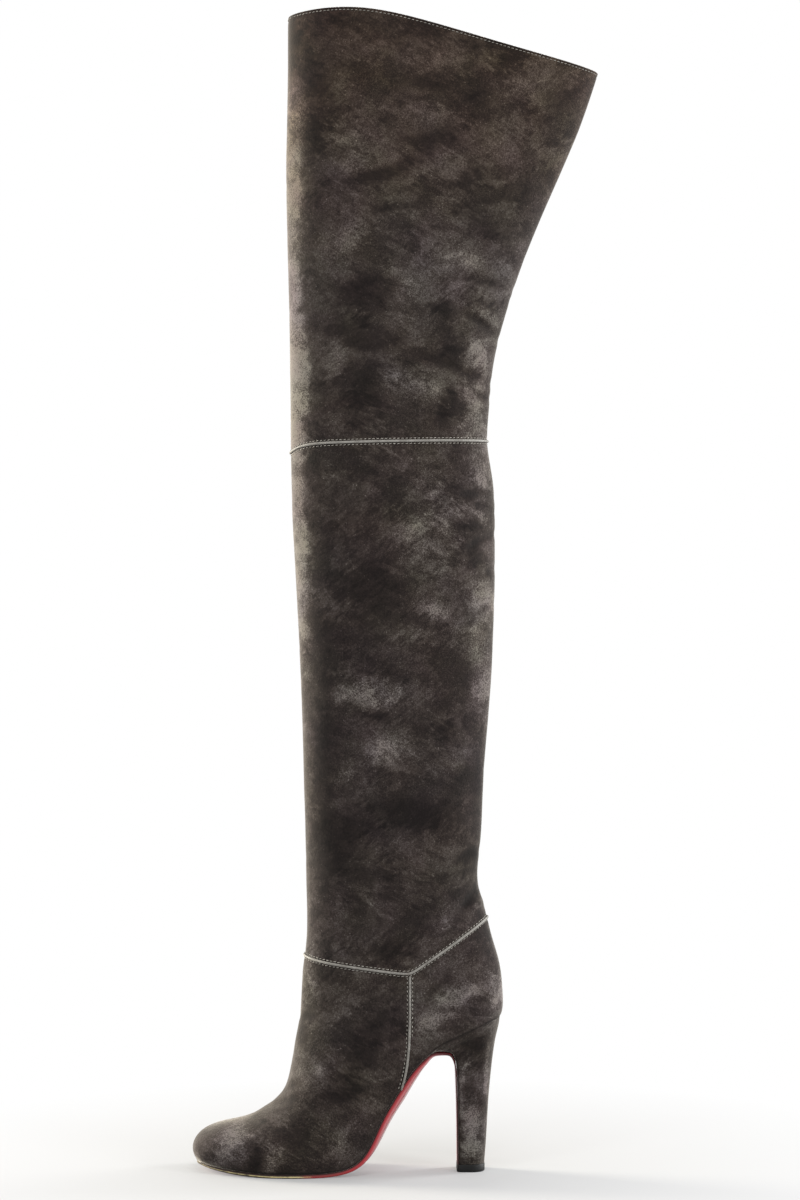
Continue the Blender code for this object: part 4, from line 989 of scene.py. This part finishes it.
class Finish:
    """A new material, and short ways to add nodes to it."""

    def __init__(self, name):
        self.material = bpy.data.materials.new(name)
        self.material.use_nodes = True
        self.tree = self.material.node_tree
        self.shader = self.tree.nodes["Principled BSDF"]

    def put(self, socket, value):
        """Link a socket to another one, or set it."""
        if isinstance(value, bpy.types.NodeSocket):
            self.tree.links.new(value, socket)
        else:
            socket.default_value = (*value, 1.0) if socket.type == "RGBA" else value

    def fill(self, node, inputs):
        """Inputs go by name, with _ for a space, or by i and a number."""
        for name, value in inputs.items():
            self.put(node.inputs[int(name[1:]) if name[1:].isdigit() else name.replace("_", " ")], value)

    def done(self, **inputs):
        self.fill(self.shader, inputs)
        return self.material

    def node(self, kind, settings=(), **inputs):
        node = self.tree.nodes.new(kind)
        for name, value in settings:
            setattr(node, name, value)
        self.fill(node, inputs)
        return node

    def place(self):
        return self.node("ShaderNodeTexCoord").outputs["Object"]

    def attribute(self, name):
        return self.node("ShaderNodeAttribute", (("attribute_name", name),)).outputs["Fac"]

    def maths(self, operation, first, second, third=0.0):
        settings = (("operation", operation),)
        return self.node("ShaderNodeMath", settings, i0=first, i1=second, i2=third).outputs[0]

    def scaled(self, value, factor, shift):
        return self.maths("MULTIPLY_ADD", value, factor, shift)

    def layered(self, value, *layers):
        """A value with weighted layers of noise added, each about its middle."""
        for layer, weight in layers:
            value = self.scaled(self.maths("SUBTRACT", layer, 0.5), weight, value)
        return value

    def stretched(self, value, low, high, to_low=0.0, to_high=1.0, kind="LINEAR"):
        """A range of values brought to another range, and held at its ends."""
        return self.node(
            "ShaderNodeMapRange", (("interpolation_type", kind),), Value=value,
            From_Min=low, From_Max=high, To_Min=to_low, To_Max=to_high,
        ).outputs[0]

    def texture(self, scale, detail, roughness=0.5, distortion=0.0, stretch=(1.0, 1.0, 1.0), slant=0.0):
        """Noise over the boot's own coordinates: bumps to the metre, and degrees of slant down from X."""
        mapped = self.node(
            "ShaderNodeMapping", (("vector_type", "TEXTURE"),), Vector=self.place(), Scale=stretch,
            Rotation=(0.0, math.radians(slant), 0.0),
        )
        return self.node(
            "ShaderNodeTexNoise", Vector=mapped.outputs[0], Scale=scale, Detail=detail,
            Roughness=roughness, Distortion=distortion,
        ).outputs[0]

    def ramp(self, factor, stops):
        """A colour ramp through stops of (place, colour)."""
        node = self.node("ShaderNodeValToRGB", Fac=factor)
        steps = node.color_ramp.elements
        while len(steps) < len(stops):
            steps.new(0.5)
        for step, (place, colour) in zip(steps, stops):
            step.position = place
            step.color = (*colour, 1.0)
        return node.outputs[0]

    def mix(self, factor, first, second, blend="MIX"):
        settings = (("data_type", "RGBA"), ("blend_type", blend))
        return self.node("ShaderNodeMix", settings, i0=factor, i6=first, i7=second).outputs[2]

    def bump(self, height, distance, strength):
        return self.node("ShaderNodeBump", Height=height, Distance=distance, Strength=strength).outputs[0]


def suede():
    """Brushed suede: blotches of nap laid this way and that, painted light and shade, fine fibres and a soft
    sheen.
    """
    made = Finish("suede")
    # nap from the points: brushed marks with painted highlight and painted shade
    marks = made.attribute("nap")
    patches = made.texture(34.0, 2.0, 0.5, 0.35)
    falling, rising = (
        made.texture(330.0, 3.0, 0.6, 0.5, (3.0, 1.5, 1.0), slant) for slant in (28.0, -40.0)
    )
    lean = made.stretched(made.texture(14.0, 2.0, 0.5, 0.5), 0.44, 0.56)
    feather = made.scaled(made.maths("SUBTRACT", rising, falling), lean, falling)
    fibres = made.texture(620.0, 2.0, 0.6, 0.2)
    grain = made.texture(1250.0, 1.0)
    specks = made.texture(900.0, 1.0)
    drifts = [
        made.texture(scale, 3.0, 0.5, 0.7, (1.9, 1.2, 1.0), slant)
        for scale, slant in ((26.0, -8.0), (62.0, 25.0), (140.0, -35.0))
    ]
    ragged = made.layered(marks, (feather, 0.7), (drifts[1], 0.6), (drifts[2], 0.6))
    sparkle = made.scaled(marks, 0.8, 0.75)
    value = made.layered(
        made.scaled(marks, 0.34, 0.425), (patches, 0.4), (feather, 0.3), (fibres, 0.45), (grain, sparkle),
    )
    strokes = [(ragged, 0.26, 0.62, 0.0, 0.1), (ragged, -0.62, -0.26, -0.07, 0.0)]
    for drift, height in zip(drifts, (0.15, 0.11, 0.07)):
        strokes.append((made.layered(drift, (feather, 0.22)), 0.45, 0.53, -height / 2, height / 2))
    for stroke in strokes:
        value = made.maths("ADD", value, made.stretched(*stroke, "SMOOTHSTEP"))
    value = made.maths("ADD", value, made.stretched(specks, 0.68, 0.78, 0.0, 0.4))
    colour = made.ramp(value, (
        (0.0, (0.0045, 0.0032, 0.0030)),
        (0.3, (0.011, 0.0080, 0.0073)),
        (0.5, (0.021, 0.0160, 0.0142)),
        (0.75, (0.046, 0.0388, 0.0366)),
        (1.0, (0.098, 0.0855, 0.0795)),
    ))
    high = made.node("ShaderNodeSeparateXYZ", Vector=made.place()).outputs[2]
    warmth = made.stretched(high, 0.64, 0.8)
    tint = made.node("ShaderNodeCombineColor", Red=1.0)
    for name, scale, least, most, warmed in (
        ("Green", 27.0, 0.945, 1.055, -0.14),
        ("Blue", 19.0, 0.885, 1.045, -0.28),
    ):
        drift = made.stretched(made.texture(scale, 3.0, 0.5, 0.6), 0.3, 0.7, least, most)
        made.put(tint.inputs[name], made.scaled(warmth, warmed, drift))
    return made.done(
        Base_Color=made.mix(1.0, colour, tint.outputs[0], "MULTIPLY"), Roughness=0.95,
        Specular_IOR_Level=0.12, Sheen_Weight=0.5, Sheen_Roughness=0.3, Sheen_Tint=(0.79, 0.735, 0.65),
        Normal=made.bump(made.scaled(grain, 0.5, fibres), 0.0005, 0.45),
    )


def plain_finish(name, stain, tones, pores, depth, strength, roughness, gloss):
    """Leather or thread: tones that follow a stain, and fine relief from pores or twist."""
    made = Finish(name)
    return made.done(
        Base_Color=made.ramp(made.texture(*stain), tones), Roughness=roughness, Specular_IOR_Level=gloss,
        Normal=made.bump(made.texture(*pores), depth, strength),
    )


def lining_leather():
    """Smooth leather inside the shaft."""
    tones = ((0.0, (0.20, 0.145, 0.10)), (1.0, (0.30, 0.225, 0.165)))
    return plain_finish("lining", (25.0, 3.0), tones, (900.0, 2.0), 0.0003, 0.3, 0.62, 0.35)


def insole_leather():
    """Tan leather of the bed under the foot, darker where it has been pressed."""
    tones = ((0.0, (0.24, 0.16, 0.10)), (1.0, (0.44, 0.32, 0.21)))
    return plain_finish("insole_leather", (30.0, 4.0, 0.6), tones, (800.0, 2.0), 0.0003, 0.3, 0.55, 0.4)


def piping_leather():
    """Pale grey leather, slightly soiled."""
    tones = ((0.3, (0.080, 0.073, 0.064)), (0.5, (0.125, 0.118, 0.106)), (0.75, (0.175, 0.167, 0.152)))
    return plain_finish("piping_leather", (130.0, 4.0, 0.65), tones, (1300.0, 3.0), 0.0003, 0.4, 0.68, 0.35)


def thread(name, tone):
    """Pale waxed thread. A lower tone is darker."""
    tones = (
        (0.3, (0.15 * tone, 0.138 * tone, 0.118 * tone)),
        (0.7, (0.29 * tone, 0.275 * tone, 0.245 * tone)),
    )
    return plain_finish(name, (320.0, 2.0), tones, (2600.0, 2.0), 0.0002, 0.5, 0.7, 0.3)


def lift_rubber():
    """Hard black rubber with fine scuffs."""
    made = Finish("lift_rubber")
    scuffs = made.texture(260.0, 5.0, 0.7, 0.5, (2.5, 2.5, 0.5))
    tones = ((0.35, (0.004, 0.004, 0.004)), (0.6, (0.008, 0.008, 0.008)), (0.8, (0.03, 0.029, 0.028)))
    return made.done(
        Base_Color=made.ramp(scuffs, tones), Roughness=made.scaled(scuffs, 0.3, 0.4),
        Specular_IOR_Level=0.12, Normal=made.bump(scuffs, 0.0004, 0.3),
    )


def sole_leather():
    """Glossy red sole: forefoot edge worn to pale leather, tread scuffed, painted reflection and shade on the
    edge.
    """
    made = Finish("sole_leather")
    worn, gold, tread, dull, pale, dark = (made.attribute(name) for name in SOLE_SHADES)
    chips = made.texture(210.0, 4.0, 0.7, 0.4)
    scratches = made.texture(300.0, 5.0, 0.7, 0.3, (4.0, 0.6, 1.0))
    rubbed = made.ramp(scratches, (
        (0.45, (0.34, 0.05, 0.04)),
        (0.6, (0.34, 0.18, 0.12)),
        (0.72, (0.45, 0.35, 0.26)),
    ))
    bare = made.maths("MULTIPLY", worn, made.maths("GREATER_THAN", made.layered(worn, (chips, 1.6)), 0.42))
    flecks = made.stretched(made.scaled(chips, 1.2, gold), 1.0, 1.45)
    colour = made.mix(made.texture(40.0, 3.0), (0.17, 0.004, 0.008), (0.25, 0.010, 0.015))
    for share, tone in (
        (made.maths("MULTIPLY", tread, 0.75), rubbed),
        (made.maths("MULTIPLY", dull, 0.8), (0.125, 0.018, 0.016)),
        (bare, (0.014, 0.011, 0.007)),
        (flecks, (0.34, 0.285, 0.14)),
        # painted reflection of the white floor along the waist's lower edge
        (pale, (0.55, 0.37, 0.38)),
        # painted shade against the upper, and the darker edge down the heel's breast
        (made.maths("MULTIPLY", dark, 0.9), (0.014, 0.003, 0.003)),
    ):
        colour = made.mix(share, colour, tone)
    matt = made.maths("MAXIMUM", made.maths("MAXIMUM", tread, bare), dark)
    return made.done(
        Base_Color=colour, Roughness=made.scaled(matt, 0.55, 0.24), Specular_IOR_Level=0.3,
        Coat_Weight=made.scaled(matt, -0.2, 0.2), Coat_Roughness=0.15,
        Normal=made.bump(scratches, 0.0002, 0.12),
    )


def build_boot():
    nap, lining = suede(), lining_leather()
    piping, row_thread = piping_leather(), thread("thread", THREAD_TONE)
    lower, upper = (knee_height, GAP / 2), (collar_height, -RIM_RISE)
    build_tube("thigh_suede", "thigh_shaft", lower, upper, THIGH_ROWS, True, nap, lining)
    lower, upper = (ankle_height, GAP / 2), (knee_height, -GAP / 2)
    build_tube("leg_suede", "leg_shaft", lower, upper, LEG_ROWS, False, nap, lining)
    build_upper(nap, lining)
    build_heel(nap)
    build_outsole(sole_leather())
    build_top_lift(lift_rubber())
    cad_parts["insole"].data.materials.clear()
    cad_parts["insole"].data.materials.append(insole_leather())
    seams = (("knee", knee_height), ("ankle", ankle_height))
    for name, height_at in seams:
        build_piping(f"{name}_cord", f"{name}_piping", hoop(height_at), True, piping)
    for name, side in (("outer_side", OUTER), ("inner_side", INNER)):
        build_piping(f"{name}_cord", f"{name}_piping", side_seam(side), False, piping)
        rows = [side_seam(side, -STITCH_OFFSET), side_seam(side, STITCH_OFFSET, BACK_ROW_FOOT_Z)]
        build_stitches(f"{name}_stitches", rows, False, row_thread)
    for name, height_at in seams:
        rows = [hoop(height_at, offset) for offset in (-STITCH_OFFSET, STITCH_OFFSET)]
        build_stitches(f"{name}_stitches", rows, True, row_thread)
    collar_row = hoop(collar_height, -COLLAR_STITCH_OFFSET)
    build_stitches("collar_stitches", [collar_row], True, thread("collar_thread", COLLAR_THREAD_TONE))


def build_floor():
    """Pale floor that fades into the white of the surroundings."""
    made = Finish("floor")
    far = made.node("ShaderNodeVectorMath", (("operation", "LENGTH"),), Vector=made.place()).outputs["Value"]
    fade = made.stretched(far, FADE_NEAR, FADE_FAR, FLOOR_GLOW)
    white = made.node("ShaderNodeEmission", Color=WHITE, Strength=1.0)
    both = made.node("ShaderNodeMixShader", i0=fade, i1=made.shader.outputs[0], i2=white.outputs[0])
    made.put(made.tree.nodes["Material Output"].inputs[0], both.outputs[0])
    mesh = bpy.data.meshes.new("floor")
    corners = ((-1, -1), (1, -1), (1, 1), (-1, 1))
    mesh.from_pydata([(x * FLOOR_HALF, y * FLOOR_HALF, 0.0) for x, y in corners], [], [(0, 1, 2, 3)])
    mesh.materials.append(made.done(Base_Color=FLOOR_TONE, Roughness=0.7, Specular_IOR_Level=0.2))
    floor = bpy.data.objects.new("floor", mesh)
    bpy.context.scene.collection.objects.link(floor)


def build_light():
    """White surroundings, and large soft lights."""
    world = bpy.data.worlds.new("surroundings")
    world.use_nodes = True
    background = world.node_tree.nodes["Background"]
    background.inputs["Color"].default_value = (*WHITE, 1.0)
    background.inputs["Strength"].default_value = 1.0
    bpy.context.scene.world = world
    for name, place, faced, width, height, power, colour in SOFTBOXES:
        data = bpy.data.lights.new(name, "AREA")
        data.shape = "RECTANGLE"
        data.size, data.size_y = width, height
        data.energy = power
        data.color = colour
        light = bpy.data.objects.new(name, data)
        light.location = place
        x, y, z = unit(np.array(place) - (0.0, 0.0, faced))
        light.rotation_euler = (math.acos(z), 0.0, math.atan2(y, x) + math.pi / 2)
        bpy.context.scene.collection.objects.link(light)
    bpy.context.scene.view_settings.view_transform = "Standard"


def build_camera():
    data = bpy.data.cameras.new("camera")
    data.sensor_width = SENSOR
    data.lens = SENSOR * abs(CAMERA_Y) / VIEW_HEIGHT
    camera = bpy.data.objects.new("camera", data)
    camera.location = (CAMERA_X * MM, CAMERA_Y * MM, CAMERA_Z * MM)
    camera.rotation_euler = (math.pi / 2, 0.0, 0.0)
    bpy.context.scene.collection.objects.link(camera)
    bpy.context.scene.camera = camera


build_boot()
build_floor()
build_light()
build_camera()
